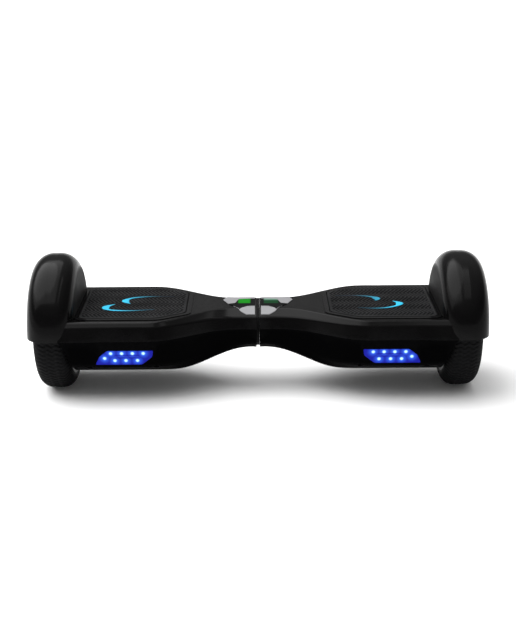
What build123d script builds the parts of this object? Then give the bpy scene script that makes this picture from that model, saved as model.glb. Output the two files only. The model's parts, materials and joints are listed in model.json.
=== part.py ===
from build123d import *
import math
import os

# Self-balancing two-wheel board: two mirrored halves that twist about one hollow centre shaft.
# Each half is an alloy frame between an upper shell with a wheel fender and a lower shell, and
# holds a hub-motor wheel, a sprung foot pedal, a headlight and a lit indicator near the middle.
# Frame: +X to the right seen from the headlight side, +Y from headlights to rear, +Z up,
# origin on the floor below the middle. Every half-part is modelled on the +X side.

# --- driving dimensions, mm ---------------------------------------------------------------
TYRE_RADIUS = 85.0
TYRE_WIDTH = 46.0
TYRE_CROWN_RADIUS = 16.5
RIM_RADIUS = TYRE_RADIUS - 22.0
RIM_FLANGE_RADIUS = RIM_RADIUS + 3.0
RIM_FLANGE_WIDTH = 2.5
WHEEL_X = 264.0
AXLE_Z = TYRE_RADIUS

WALL = 2.5
FENDER_GAP = 5.5
FENDER_RADIUS = TYRE_RADIUS + FENDER_GAP + WALL
FENDER_HALF_WIDTH = 30.0
FENDER_CORNER = 26.0
FENDER_LIP = 31.0
FENDER_INNER_X = WHEEL_X - FENDER_HALF_WIDTH
BODY_END_X = FENDER_INNER_X + WALL
BODY_REACH_X = WHEEL_X - 12.0
SKIRT_Z = TYRE_RADIUS - 31.0

HALF_GAP = 2.0
PART_Z = AXLE_Z + 3.0
SEAM = 0.3
DECK_Z = AXLE_Z + 26.0
BELLY_Z = AXLE_Z - 49.0
NECK_BELLY_Z = AXLE_Z - 28.0
NECK_BEND_X = (32.0, 140.0)
BELLY_BEND_X = (12.0, 115.0)
FLOOR_BEND_X = (10.0, 90.0)
FLARE_BEND_X = (BODY_END_X - 31.5, BODY_END_X)
FLARE = 2.3

# half depths of the neck and of the deck: belly at the seam, crease, flat top, knee, floor
NECK_SIDE, DECK_SIDE = 43.0, FENDER_RADIUS - 2.5
NECK_CREASE, DECK_CREASE = (38.0, DECK_Z - 8.0), (DECK_SIDE - 5.5, DECK_Z - 6.0)
NECK_TOP, DECK_TOP = 24.0, DECK_SIDE - 10.5
KNEE_SHARE = 0.9
NECK_KNEE_Z, DECK_KNEE_Z = AXLE_Z - 17.0, BELLY_Z + 16.0
NECK_FLOOR, DECK_FLOOR = 24.0, DECK_SIDE - 40.5
UPPER_ROUNDS = (6.0, 5.0)
LOWER_ROUNDS = (16.0, 10.0)
ROUND_SHARE = 0.48

RUNNING = 0.05
SEAL_INSET = 0.8
SEAL_FACE_X = (-HALF_GAP, HALF_GAP - 0.1)
SEAL_FOOT = 5.0
BEARING_BORE = 7.5
AXLE_RADIUS = BEARING_BORE - RUNNING
AXLE_COLLAR_RADIUS = BEARING_BORE + 1.5
AXLE_HOLE_RADIUS = BEARING_BORE + 4.5
AXLE_INNER_X = FENDER_INNER_X - 19.0
BEARING_OUTER = BEARING_BORE + 8.5
BEARING_WIDTH = 9.0
BEARING_RING = 2.8
BALL_COUNT = 10

SHAFT_RADIUS = 14.0
SHAFT_BORE = 10.0
SHAFT_LEFT_X, SHAFT_RIGHT_X = -56.0, 62.5
BOSS_RADIUS = SHAFT_RADIUS + 6.0
BOSS_START_X, BOSS_END_X = 5.0, 58.0
BUSH_WALL = 2.95
BUSH_LENGTH = 11.7
TWIST_LIMIT = 15.0
STOP_PIN_RADIUS = 2.5
STOP_PIN_X = 31.0

PLATE_Z = AXLE_Z + 9.0
PLATE_THICKNESS = 4.0
PLATE_TOP_Z = PLATE_Z + PLATE_THICKNESS
PLATE_END_X = FENDER_INNER_X - 6.0
POST_RADIUS = 4.5
SCREW_RADIUS = 1.6
SCREW_HEAD_RADIUS = 3.4
SCREW_TOP_Z = DECK_Z - 6.0
SCREW_HEAD_Z = AXLE_Z - 21.0
NECK_SCREW = (55.0, 33.0)
DECK_SCREWS = ((130.0, DECK_SIDE - 15.5), (FENDER_INNER_X - 19.0, DECK_SIDE - 15.5))

PAD_START_X, PAD_END_X = 93.0, FENDER_INNER_X - 5.0
PAD_BEND_X = 128.0
PAD_HALF_DEPTH, PAD_NOSE_HALF_DEPTH = 66.0, 44.0
PAD_CLEARANCE = 0.8
PAD_RIM_WIDTH, PAD_RIM_HEIGHT = 6.0, 0.8
MAT_THICKNESS = 3.0
MAT_PROUD = 1.5
PEDAL_FLANGE = 4.0
PEDAL_FLANGE_THICKNESS = 2.5
PEDAL_TRAVEL = 2.0
PEDAL_GAP = 0.3
BOOT_RADIUS = 6.0
BOOT_SPOTS = tuple((x, y) for x in (PAD_START_X + 19, PAD_END_X - 17) for y in (-48.0, 48.0))

LAMP_X = 167.0
LAMP_Z = AXLE_Z - 18.5
LAMP_OUTLINE = ((39.5, -11.8), (34.0, 0.0), (24.0, 8.8), (-34.0, 8.8), (-33.0, 0.0), (-19.0, -11.8))
LAMP_CORNERS = (1.2, 8.0, 6.0, 1.5, 6.0, 5.0)
LAMP_LEDS = ((19.5, 5.3), (5.6, 5.3), (-8.0, 5.3), (-21.7, 5.3), (27.5, -3.0), (14.6, -5.3), (0.7, -5.3), (-14.0, -5.3))
LAMP_DEPTH = 9.0
LENS_THICKNESS = 2.0
FIT = 0.3

TRIM_OUTLINE = ((4.0, -34.0), (15.0, -34.0), (22.5, -29.0), (39.0, -5.0), (46.0, 12.0), (40.0, 27.0), (18.0, 34.0), (4.0, 34.0))
BADGE_OUTLINE = ((4.0, -15.5), (14.0, -16.5), (24.0, -26.0), (38.5, -6.0), (30.0, -3.0), (25.5, 14.0), (4.0, 17.0))
TRIM_PROUD, TRIM_DEPTH = 0.6, 1.0

PORT_X = 162.0
PORT_Z = AXLE_Z - 19.0
PORT_BARREL = 9.8
PORT_FLANGE = 12.0
PORT_FLANGE_THICKNESS = 1.2
PORT_SEAT = 0.4
SOCKET_BORE = 6.5
SOCKET_BORE_DEPTH = 6.0
SOCKET_DEPTH = 14.0
CAP_THICKNESS = 2.2
CAP_HINGE_RISE = 15.5
CAP_PIN_RADIUS = 1.0
BUTTON_RADIUS = 8.0
BUTTON_TRAVEL = 1.5
BUTTON_PROUD = 2.4

PACK_X = (82.0, 214.0)
PACK_HALF_DEPTH = 46.6
PACK_Z = (AXLE_Z - 40.8, AXLE_Z - 3.0)
CELL_RADIUS = 9.2
CELL_LENGTH = 64.6
PACK_SKIN = 0.4
LEAD_RADIUS = 2.25
TERMINAL_X = (76.0, 90.0)
BOARD_Z = AXLE_Z - 27.0
BOARD_THICKNESS = 1.6

# --- places worked out from the sizes ---------------------------------------------------------
AXLE = Axis((0, 0, AXLE_Z), (1, 0, 0))
FACE_LEAN = math.degrees(math.atan2(DECK_SIDE * (1 - KNEE_SHARE), PART_Z - DECK_KNEE_Z))
FACE_RISE = math.tan(math.radians(FACE_LEAN))
PAD_Z = DECK_Z + MAT_PROUD
MAT_Z = PAD_Z - MAT_THICKNESS
PEDAL_TOP_Z = DECK_Z - WALL - PEDAL_GAP
PEDAL_Z = PEDAL_TOP_Z - PEDAL_FLANGE_THICKNESS
ROTOR_FACE = TYRE_WIDTH / 2 - 4.0
OUTER_BEARING_X = WHEEL_X + 4.0
RIM_SHY = 0.6
INNER_BEARING_X = WHEEL_X - TYRE_WIDTH / 2 + RIM_SHY
BEND_STATIONS = (HALF_GAP, 16, 32, 50, 68, 86, 104, 122, 140)
END_SHARES = (0.22, 0.45, 0.67, 0.84, 1)
STATIONS = (*BEND_STATIONS, *(140 + share * (BODY_END_X - 140) for share in END_SHARES), BODY_REACH_X)
HOLLOW_STATIONS = (HALF_GAP + WALL, *STATIONS[1:-2], FENDER_INNER_X)
NECK_SCREWS = tuple((NECK_SCREW[0], side * NECK_SCREW[1]) for side in (-1, 1))
SCREWS = NECK_SCREWS + tuple((x, side * y) for x, y in DECK_SCREWS for side in (-1, 1))

# axle clamp and shaft hardware
CLAMP_BOLT_RADIUS = 2.5
CLAMP_DROP = 13.0
CLAMP_BOLT_SPOTS = tuple((AXLE_INNER_X + dx, y) for dx in (4.5, 12.5) for y in (-15.0, 15.0))
LOCK_SCREW_X = (20.0, 44.0)
LOCK_SCREW_RADIUS = 2.5
CLIP_WIDTH = 1.5
WASHER_WIDTH = 1.1
CLIP_X = BOSS_END_X + WASHER_WIDTH + 0.3

# foot sensors
FLAG_SPOTS = ((162.0, -30.0), (162.0, 30.0))
SENSOR_Z = PLATE_TOP_Z + 1.2
SENSOR_THICKNESS = 1.4

# hub motor and wheel cover
MAGNET_THICKNESS = 2.5
ROTOR_INNER = RIM_RADIUS - 9.05
MAGNET_RADIUS = ROTOR_INNER - RUNNING - MAGNET_THICKNESS
STATOR_RADIUS = MAGNET_RADIUS - 0.6
MAGNET_COUNT = 30
STATOR_TEETH = 27
COVER_RADIUS = RIM_RADIUS - 3.0
COVER_THICKNESS = 4.0
COVER_SCREW_RADIUS = COVER_RADIUS - 3.0
COVER_SCREWS = 8
COVER_X = INNER_BEARING_X


def ease(value, start, end):
    """Smooth 0 to 1 as value goes from start to end."""
    share = min(1.0, max(0.0, (value - start) / (end - start)))
    return share * share * (3 - 2 * share)


def mix(near, far, share):
    return near + (far - near) * share


def upper_half_outline(x):
    """Seam, crease and deck edge of the upper body at a station, as (half depth, height)."""
    deck = ease(x, *NECK_BEND_X)
    return [
        (mix(NECK_SIDE, DECK_SIDE, deck) + FLARE * ease(x, *FLARE_BEND_X), PART_Z),
        (mix(NECK_CREASE[0], DECK_CREASE[0], deck), mix(NECK_CREASE[1], DECK_CREASE[1], deck)),
        (mix(NECK_TOP, DECK_TOP, deck), DECK_Z),
    ]


def lower_half_outline(x):
    """Seam, knee and floor edge of the lower body at a station, as (half depth, height)."""
    side = mix(NECK_SIDE, DECK_SIDE, ease(x, *NECK_BEND_X))
    flare = FLARE * ease(x, *FLARE_BEND_X)
    belly = ease(x, *BELLY_BEND_X)
    return [
        (side + flare, PART_Z - SEAM),
        (side * KNEE_SHARE + 2 * flare, mix(NECK_KNEE_Z, DECK_KNEE_Z, belly) + flare),
        (mix(NECK_FLOOR, DECK_FLOOR, ease(x, *FLOOR_BEND_X)), mix(NECK_BELLY_Z, BELLY_Z, belly)),
    ]


def inset_half(half, inset, turn):
    """Corners of a half outline whose sides are all moved inwards by inset."""
    corners = [Vector(*p) for p in half] + [Vector(-half[-1][0], half[-1][1])]
    normals = []
    for start, end in zip(corners, corners[1:]):
        along = (end - start).normalized()
        normals.append(Vector(-along.Y, along.X) * turn)
    moved = [corners[0] + normals[0] * inset]
    for corner, before, after in zip(corners[1:], normals, normals[1:]):
        moved.append(corner + (before + after) * (inset / (1 + before.dot(after))))
    return [(p.X, p.Y) for p in moved]


def across(x):
    """The plane of a cross-section at x: its own x runs along Y, its own y up."""
    return Plane(origin=(x, 0, 0), x_dir=(0, 1, 0), z_dir=(1, 0, 0))


def widest_round(before, corner, after):
    """The largest radius that a corner can take without meeting its neighbours."""
    into = Vector(corner[0] - before[0], corner[1] - before[1])
    out = Vector(after[0] - corner[0], after[1] - corner[1])
    half_turn = math.radians(into.get_angle(out)) / 2
    return ROUND_SHARE * min(into.length, out.length) / math.tan(half_turn)


def body_form(stations, half_outline, turn, inset=0.0, rounds=()):
    """One half of the upper or lower body as a solid lofted through its cross-sections."""
    with BuildPart() as form:
        for x in stations:
            half = inset_half(half_outline(x), inset, turn)
            outline = half + [(-y, z) for y, z in reversed(half)]
            with BuildSketch(across(x)) as section:
                with BuildLine():
                    Polyline(*outline, close=True)
                make_face()
                for spot, radius in enumerate(rounds, start=1):
                    before, corner, after = outline[spot - 1], outline[spot], outline[spot + 1]
                    corners = section.vertices().filter_by(lambda v, h=corner[1]: abs(v.Y - h) < 0.01)
                    fillet(corners, min(radius, widest_round(before, corner, after)))
        loft()
    return form.part


def upper_form(inset=0.0, stations=STATIONS, rounds=UPPER_ROUNDS):
    return body_form(stations, upper_half_outline, 1, inset, rounds)


def lower_form(inset=0.0, stations=STATIONS, rounds=LOWER_ROUNDS):
    return body_form(stations, lower_half_outline, -1, inset, rounds)


def pad_prism(low, high, grow=0.0):
    """The foot pad's outline, grown by a margin, from one height to another."""
    nose = PAD_NOSE_HALF_DEPTH
    with BuildPart() as prism:
        with BuildSketch(Plane.XY.offset(low)) as outline:
            with BuildLine():
                Polyline(
                    (PAD_START_X, -nose),
                    (PAD_BEND_X, -PAD_HALF_DEPTH),
                    (PAD_END_X, -PAD_HALF_DEPTH),
                    (PAD_END_X, PAD_HALF_DEPTH),
                    (PAD_BEND_X, PAD_HALF_DEPTH),
                    (PAD_START_X, nose),
                    close=True,
                )
            make_face()
            fillet(outline.vertices().filter_by_position(Axis.X, PAD_END_X - 1, PAD_END_X + 1), 8)
            fillet(outline.vertices().filter_by_position(Axis.X, PAD_BEND_X - 1, PAD_BEND_X + 1), 22)
            fillet(outline.vertices().filter_by_position(Axis.X, PAD_START_X - 1, PAD_START_X + 1), 7)
            if grow:
                offset(amount=grow, mode=Mode.REPLACE)
        extrude(amount=high - low)
    return prism.part


def plan_prism(points, low, high, grow=0.0):
    """A plan outline, grown by a margin, from one height to another."""
    with BuildPart() as prism:
        with BuildSketch(Plane.XY.offset(low)):
            with BuildLine():
                Polyline(*points, close=True)
            make_face()
            if grow:
                offset(amount=grow, kind=Kind.INTERSECTION, mode=Mode.REPLACE)
        extrude(amount=high - low)
    return prism.part


def wall_plane(x, z, side):
    """A plane on the lower shell's leaning wall; side -1 is the front and 1 the rear. Its z is outwards."""
    lean = math.radians(FACE_LEAN)
    depth = DECK_SIDE - (PART_Z - z) * FACE_RISE
    outward = (0, side * math.cos(lean), -math.sin(lean))
    return Plane(origin=(x, side * depth, z), x_dir=(-side, 0, 0), z_dir=outward)


def port_face():
    """The plane that the port flanges sit on, just clear of the rear wall."""
    return wall_plane(PORT_X, PORT_Z, 1).offset(PORT_SEAT)


def lamp_prism(outward, inward, grow=0.0):
    """The headlight's outline through the front wall, between two depths measured from the face."""
    with BuildPart() as prism:
        with BuildSketch(wall_plane(LAMP_X, LAMP_Z, -1).offset(-inward)) as outline:
            with BuildLine():
                Polyline(*LAMP_OUTLINE, close=True)
            make_face()
            for (u, v), radius in zip(LAMP_OUTLINE, LAMP_CORNERS):
                corner = outline.vertices().sort_by(lambda c, u=u, v=v: (c.X - u) ** 2 + (c.Y - v) ** 2)[0]
                fillet(corner, radius)
            if grow:
                offset(amount=grow, mode=Mode.REPLACE)
        extrude(amount=inward + outward)
    return prism.part


def fender_ring():
    """The fender's arch as a full ring round the axle, with the wheel well's inner wall."""
    flat = FENDER_HALF_WIDTH - FENDER_CORNER
    corner_r = FENDER_RADIUS - FENDER_CORNER
    inner = FENDER_CORNER - WALL
    diagonal = math.sqrt(0.5)
    lip = FENDER_RADIUS - FENDER_LIP
    w, up = WHEEL_X, AXLE_Z
    half = FENDER_HALF_WIDTH
    with BuildPart() as ring:
        with BuildSketch(Plane.XZ):
            with BuildLine():
                Line((w - half, up + AXLE_HOLE_RADIUS), (w - half, up + corner_r))
                ThreePointArc(
                    (w - half, up + corner_r),
                    (w - flat - FENDER_CORNER * diagonal, up + corner_r + FENDER_CORNER * diagonal),
                    (w - flat, up + FENDER_RADIUS),
                )
                Line((w - flat, up + FENDER_RADIUS), (w + flat, up + FENDER_RADIUS))
                ThreePointArc(
                    (w + flat, up + FENDER_RADIUS),
                    (w + flat + FENDER_CORNER * diagonal, up + corner_r + FENDER_CORNER * diagonal),
                    (w + half, up + corner_r),
                )
                Polyline(
                    (w + half, up + corner_r),
                    (w + half, up + lip),
                    (w + half - WALL, up + lip),
                    (w + half - WALL, up + corner_r),
                )
                ThreePointArc(
                    (w + half - WALL, up + corner_r),
                    (w + flat + inner * diagonal, up + corner_r + inner * diagonal),
                    (w + flat, up + FENDER_RADIUS - WALL),
                )
                Line((w + flat, up + FENDER_RADIUS - WALL), (w - flat, up + FENDER_RADIUS - WALL))
                ThreePointArc(
                    (w - flat, up + FENDER_RADIUS - WALL),
                    (w - flat - inner * diagonal, up + corner_r + inner * diagonal),
                    (w - half + WALL, up + corner_r),
                )
                Polyline(
                    (w - half + WALL, up + corner_r),
                    (w - half + WALL, up + AXLE_HOLE_RADIUS),
                    (w - half, up + AXLE_HOLE_RADIUS),
                )
            make_face()
        revolve(axis=AXLE, revolution_arc=360)
    return ring.part


def wheel_space():
    """The space inside the fender's inner profile, as a solid of revolution out to the wheel's middle."""
    flat = FENDER_HALF_WIDTH - FENDER_CORNER
    corner_r = FENDER_RADIUS - FENDER_CORNER
    inner = FENDER_CORNER - WALL
    diagonal = math.sqrt(0.5)
    w, up = WHEEL_X, AXLE_Z
    with BuildPart() as space:
        with BuildSketch(Plane.XZ):
            with BuildLine():
                Polyline((w - flat, up + FENDER_RADIUS - WALL), (w, up + FENDER_RADIUS - WALL), (w, up))
                Polyline((w, up), (BODY_END_X, up), (BODY_END_X, up + corner_r))
                ThreePointArc(
                    (BODY_END_X, up + corner_r),
                    (w - flat - inner * diagonal, up + corner_r + inner * diagonal),
                    (w - flat, up + FENDER_RADIUS - WALL),
                )
            make_face()
        revolve(axis=AXLE, revolution_arc=360)
    return space.part


def posts(low, high, envelope):
    """Screw posts between two heights, kept inside the body's outer form."""
    with BuildPart() as group:
        with BuildSketch(Plane.XY.offset(low)):
            with Locations(*SCREWS):
                Circle(POST_RADIUS)
        extrude(amount=high - low)
        add(envelope, mode=Mode.INTERSECT)
    return group.part


def upper_shell():
    """Deck, neck top and fender in one moulding, open below."""
    outer = upper_form()
    hollow = upper_form(WALL, HOLLOW_STATIONS, ())
    fender = fender_ring()
    wheel = wheel_space()
    screw_posts = posts(PLATE_TOP_Z, DECK_Z + 5, outer)
    rim = pad_prism(DECK_Z - 1, DECK_Z + PAD_RIM_HEIGHT, PAD_CLEARANCE + PAD_RIM_WIDTH)
    opening = pad_prism(DECK_Z - 10, DECK_Z + 10, PAD_CLEARANCE)
    trim_pocket = plan_prism(TRIM_OUTLINE, PART_Z + 1, DECK_Z + 5, FIT / 2)
    trim_floor = upper_form(TRIM_DEPTH, STATIONS, ())
    light_well = plan_prism(((9, -5), (27, -5), (27, 12), (9, 12)), DECK_Z - 8, DECK_Z + 5)
    with BuildPart() as badge_pocket:
        add(trim_pocket)
        add(trim_floor, mode=Mode.SUBTRACT)
    with BuildPart() as shell:
        add(fender)
        split(bisect_by=Plane.XY.offset(PART_Z), keep=Keep.TOP)
        add(outer)
        add(hollow, mode=Mode.SUBTRACT)
        add(wheel, mode=Mode.SUBTRACT)
        add(screw_posts)
        add(rim)
        add(opening, mode=Mode.SUBTRACT)
        add(badge_pocket.part, mode=Mode.SUBTRACT)
        add(light_well, mode=Mode.SUBTRACT)
        with BuildSketch(across(HALF_GAP - 1)):
            with Locations((0, AXLE_Z)):
                Circle(BOSS_RADIUS + 3.2)
        extrude(amount=WALL + 2, mode=Mode.SUBTRACT)
        with BuildSketch(across(FENDER_INNER_X - 1)):
            with Locations((0, AXLE_Z)):
                Circle(AXLE_HOLE_RADIUS)
        extrude(amount=WALL + 2, mode=Mode.SUBTRACT)
        with BuildSketch(Plane.XY.offset(PLATE_TOP_Z - 1)):
            with Locations(*SCREWS):
                Circle(SCREW_RADIUS + RUNNING)
        extrude(amount=SCREW_TOP_Z + 1 - PLATE_TOP_Z + 1, mode=Mode.SUBTRACT)
    return shell.part


def beyond_skirt():
    """The space past the lower shell's curved wheel-side edge, as seen from the front."""
    seam = PART_Z - SEAM + 1
    with BuildPart() as space:
        with BuildSketch(Plane.XZ):
            with BuildLine():
                ThreePointArc(
                    (BODY_END_X, SKIRT_Z),
                    ((BODY_END_X + BODY_REACH_X) / 2 - 1.5, (SKIRT_Z + seam) / 2),
                    (BODY_REACH_X, seam),
                )
                Polyline(
                    (BODY_REACH_X, seam),
                    (BODY_REACH_X + 5, seam),
                    (BODY_REACH_X + 5, BELLY_Z - 5),
                    (BODY_END_X, BELLY_Z - 5),
                    (BODY_END_X, SKIRT_Z),
                )
            make_face()
        extrude(amount=FENDER_RADIUS + 5, both=True)
    return space.part


def lower_shell():
    """Belly tray with the headlight window, a rear port hole and recessed screw wells."""
    outer = lower_form()
    hollow = lower_form(WALL, HOLLOW_STATIONS, ())
    wheel = wheel_space()
    past_skirt = beyond_skirt()
    screw_posts = posts(BELLY_Z - 5, PLATE_Z, outer)
    window = lamp_prism(10, 20, FIT)
    with BuildPart() as shell:
        add(outer)
        add(hollow, mode=Mode.SUBTRACT)
        add(wheel, mode=Mode.SUBTRACT)
        add(past_skirt, mode=Mode.SUBTRACT)
        with BuildSketch(Plane.XY.offset(BELLY_Z + 1)):
            with Locations(*[(x, 0) for x in (100, 150, 200)]):
                Rectangle(2, 80)
        extrude(amount=PACK_Z[0] - 0.2 - BELLY_Z - 1)
        add(screw_posts)
        with BuildSketch(Plane.XY.offset(PART_Z - SEAM)):
            with Locations(*SCREWS):
                Circle(POST_RADIUS)
        extrude(amount=PLATE_Z - PART_Z + SEAM)
        add(window, mode=Mode.SUBTRACT)
        with BuildSketch(across(HALF_GAP - 1)):
            with Locations((0, AXLE_Z)):
                Circle(BOSS_RADIUS + 3.2)
        extrude(amount=WALL + 2, mode=Mode.SUBTRACT)
        with BuildSketch(across(FENDER_INNER_X - 1)):
            with Locations((0, AXLE_Z)):
                Circle(AXLE_HOLE_RADIUS)
        extrude(amount=WALL + 2, mode=Mode.SUBTRACT)
        with BuildSketch(wall_plane(PORT_X, PORT_Z, 1).offset(-15)):
            Circle(PORT_BARREL + FIT)
        extrude(amount=30, mode=Mode.SUBTRACT)
        with BuildSketch(Plane.XY.offset(BELLY_Z - 5)):
            with Locations(*SCREWS):
                Circle(SCREW_HEAD_RADIUS + 0.3)
        extrude(amount=SCREW_HEAD_Z - BELLY_Z + 5, mode=Mode.SUBTRACT)
        with BuildSketch(Plane.XY.offset(BELLY_Z)):
            with Locations(*SCREWS):
                Circle(SCREW_RADIUS + RUNNING)
        extrude(amount=PLATE_Z + 1 - BELLY_Z, mode=Mode.SUBTRACT)
    return shell.part


def frame_casting(bush_seats):
    """Cast alloy frame: a deck plate with rails, the shaft boss and the axle's upper saddle."""
    with BuildPart() as casting:
        with BuildSketch(Plane.XY.offset(PLATE_Z)):
            with BuildLine():
                Polyline(
                    (24, -18), (48, -22), (62, -36), (96, -64), (PLATE_END_X, -64),
                    (PLATE_END_X, 64), (96, 64), (62, 36), (48, 22), (24, 18),
                    close=True,
                )
            make_face()
            for x, y in SCREWS:
                with Locations((x, y * 0.85)):
                    Rectangle(11, abs(y) * 0.3)
            with Locations(*SCREWS):
                Circle(POST_RADIUS + 1)
            for x in (124, 185):
                for y in (-32, 32):
                    with Locations((x, y)):
                        SlotOverall(46, 22, mode=Mode.SUBTRACT)
        extrude(amount=PLATE_THICKNESS)
        with BuildSketch(across(BOSS_START_X)):
            with Locations((0, AXLE_Z)):
                Circle(BOSS_RADIUS)
        extrude(amount=BOSS_END_X - BOSS_START_X)
        with BuildSketch(Plane.XY.offset(PLATE_Z - 14)):
            with Locations(((PLATE_END_X + 86) / 2, -51.5), ((PLATE_END_X + 86) / 2, 51.5)):
                Rectangle(PLATE_END_X - 86, 3)
        extrude(amount=15)
        with BuildSketch(Plane.XY.offset(AXLE_Z + 0.1)):
            with Locations((AXLE_INNER_X + 8.5, 0)):
                Rectangle(15, 44)
        extrude(amount=PLATE_Z - AXLE_Z)
        with BuildSketch(Plane.XY.offset(PLATE_TOP_Z - 1)):
            with Locations((147, -18), (147, 18), (177, -18), (177, 18)):
                Circle(3)
        extrude(amount=2.2)
        with BuildSketch(across(BOSS_START_X - 1)):
            with Locations((0, AXLE_Z)):
                Circle(SHAFT_RADIUS + (1.0 if bush_seats else RUNNING))
        extrude(amount=BOSS_END_X - BOSS_START_X + 2, mode=Mode.SUBTRACT)
        with BuildSketch(across(BOSS_END_X)):
            with Locations((0, AXLE_Z)):
                Circle(BOSS_RADIUS + 0.5)
        extrude(amount=SHAFT_RIGHT_X - BOSS_END_X + 2, mode=Mode.SUBTRACT)
        if bush_seats:
            for x in (BOSS_START_X, BOSS_END_X - BUSH_LENGTH - 0.3):
                with BuildSketch(across(x)):
                    with Locations((0, AXLE_Z)):
                        Circle(SHAFT_RADIUS + BUSH_WALL + 2 * RUNNING)
                extrude(amount=BUSH_LENGTH + 0.3, mode=Mode.SUBTRACT)
        with BuildSketch(across(AXLE_INNER_X)):
            with Locations((0, AXLE_Z)):
                Circle(BEARING_BORE)
        extrude(amount=18, mode=Mode.SUBTRACT)
        with BuildSketch(Plane.XY.offset(PLATE_Z - 20)):
            with Locations(*CLAMP_BOLT_SPOTS):
                Circle(CLAMP_BOLT_RADIUS + RUNNING)
        extrude(amount=PLATE_Z - 1 - PLATE_Z + 20, mode=Mode.SUBTRACT)
        with BuildSketch(Plane.XY.offset(PLATE_Z - 1)):
            with Locations(*SCREWS):
                Circle(SCREW_RADIUS + 0.3)
        extrude(amount=PLATE_THICKNESS + 2, mode=Mode.SUBTRACT)
    return casting.part


def stop_slot():
    """Arc slot under the right boss that the stop pin sweeps when the halves twist."""
    half = TWIST_LIMIT + math.degrees(math.asin((STOP_PIN_RADIUS + 0.2) / SHAFT_RADIUS)) + 1.0
    with BuildPart() as slot:
        with BuildSketch(Plane.XZ):
            with Locations((STOP_PIN_X, AXLE_Z - (SHAFT_RADIUS + BOSS_RADIUS) / 2 - 0.5)):
                Rectangle(2 * STOP_PIN_RADIUS + 0.8, BOSS_RADIUS - SHAFT_RADIUS + 3)
        revolve(axis=AXLE, revolution_arc=2 * half)
    turned = slot.part.rotate(AXLE, -half)
    return turned


def frame_left_form():
    """The frame that the shaft is fixed in, still on the +X side, with two lock screw holes."""
    with BuildPart() as frame:
        add(frame_casting(False))
        for x in LOCK_SCREW_X:
            with BuildSketch(Plane.XY.offset(AXLE_Z - BOSS_RADIUS - 1)):
                with Locations((x, 0)):
                    Circle(LOCK_SCREW_RADIUS + RUNNING)
            extrude(amount=BOSS_RADIUS - SHAFT_RADIUS + 3, mode=Mode.SUBTRACT)
    return frame.part


def frame_right_form():
    """The frame that turns on the shaft's bushes."""
    slot = stop_slot()
    with BuildPart() as frame:
        add(frame_casting(True))
        add(slot, mode=Mode.SUBTRACT)
    return frame.part


def axle_clamp():
    with BuildPart() as clamp:
        with BuildSketch(Plane.XY.offset(AXLE_Z - CLAMP_DROP)):
            with Locations((AXLE_INNER_X + 8.5, 0)):
                Rectangle(15, 44)
        extrude(amount=CLAMP_DROP - 0.1)
        with BuildSketch(across(AXLE_INNER_X)):
            with Locations((0, AXLE_Z)):
                Circle(BEARING_BORE)
        extrude(amount=18, mode=Mode.SUBTRACT)
        with BuildSketch(Plane.XY.offset(AXLE_Z - CLAMP_DROP - 1)):
            with Locations(*CLAMP_BOLT_SPOTS):
                Circle(CLAMP_BOLT_RADIUS + RUNNING)
        extrude(amount=CLAMP_DROP + 2, mode=Mode.SUBTRACT)
    return clamp.part


def half_screws():
    """Four clamp bolts and six long shell screws of one half."""
    with BuildPart() as bolts:
        with BuildSketch(Plane.XY.offset(AXLE_Z - CLAMP_DROP - 4)):
            with Locations(*CLAMP_BOLT_SPOTS):
                Circle(4.2)
        extrude(amount=4)
        with BuildSketch(Plane.XY.offset(AXLE_Z - CLAMP_DROP - 4)):
            with Locations(*CLAMP_BOLT_SPOTS):
                RegularPolygon(2.3, 6)
        extrude(amount=2.4, mode=Mode.SUBTRACT)
        with BuildSketch(Plane.XY.offset(AXLE_Z - CLAMP_DROP - 1)):
            with Locations(*CLAMP_BOLT_SPOTS):
                Circle(CLAMP_BOLT_RADIUS)
        extrude(amount=PLATE_Z - 2 - AXLE_Z + CLAMP_DROP + 1)
        with BuildSketch(Plane.XY.offset(SCREW_HEAD_Z - 2.4)):
            with Locations(*SCREWS):
                Circle(SCREW_HEAD_RADIUS)
        extrude(amount=2.4)
        with BuildSketch(Plane.XY.offset(SCREW_HEAD_Z - 2.4)):
            with Locations(*SCREWS):
                Rectangle(4.2, 0.9)
                Rectangle(0.9, 4.2)
        extrude(amount=1.2, mode=Mode.SUBTRACT)
        with BuildSketch(Plane.XY.offset(SCREW_HEAD_Z - 0.5)):
            with Locations(*SCREWS):
                Circle(SCREW_RADIUS)
        extrude(amount=SCREW_TOP_Z - 1 - SCREW_HEAD_Z)
    return bolts.part


def foot_mat():
    mat = pad_prism(MAT_Z, PAD_Z)
    with BuildPart() as rubber:
        add(mat)
        fillet(rubber.faces().sort_by(Axis.Z)[-1].edges(), 0.8)
    return rubber.part


def pedal_plate():
    """Rigid pedal under the mat: its flange is trapped below the deck, two flags hang from it."""
    flange = pad_prism(PEDAL_Z, PEDAL_TOP_Z, PEDAL_FLANGE - 0.5)
    platform = pad_prism(PEDAL_TOP_Z, MAT_Z)
    with BuildPart() as pedal:
        add(flange)
        add(platform)
        with BuildSketch(Plane.XY.offset(PEDAL_Z - 2.7)):
            with Locations(*FLAG_SPOTS):
                Rectangle(1.0, 5.0)
        extrude(amount=3.0)
    return pedal.part


def pedal_boots():
    with BuildPart() as boots:
        with BuildSketch(Plane.XY.offset(PLATE_TOP_Z)):
            with Locations(*BOOT_SPOTS):
                Circle(BOOT_RADIUS)
                Circle(BOOT_RADIUS - 2.5, mode=Mode.SUBTRACT)
        extrude(amount=PEDAL_Z - PLATE_TOP_Z)
    return boots.part


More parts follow.
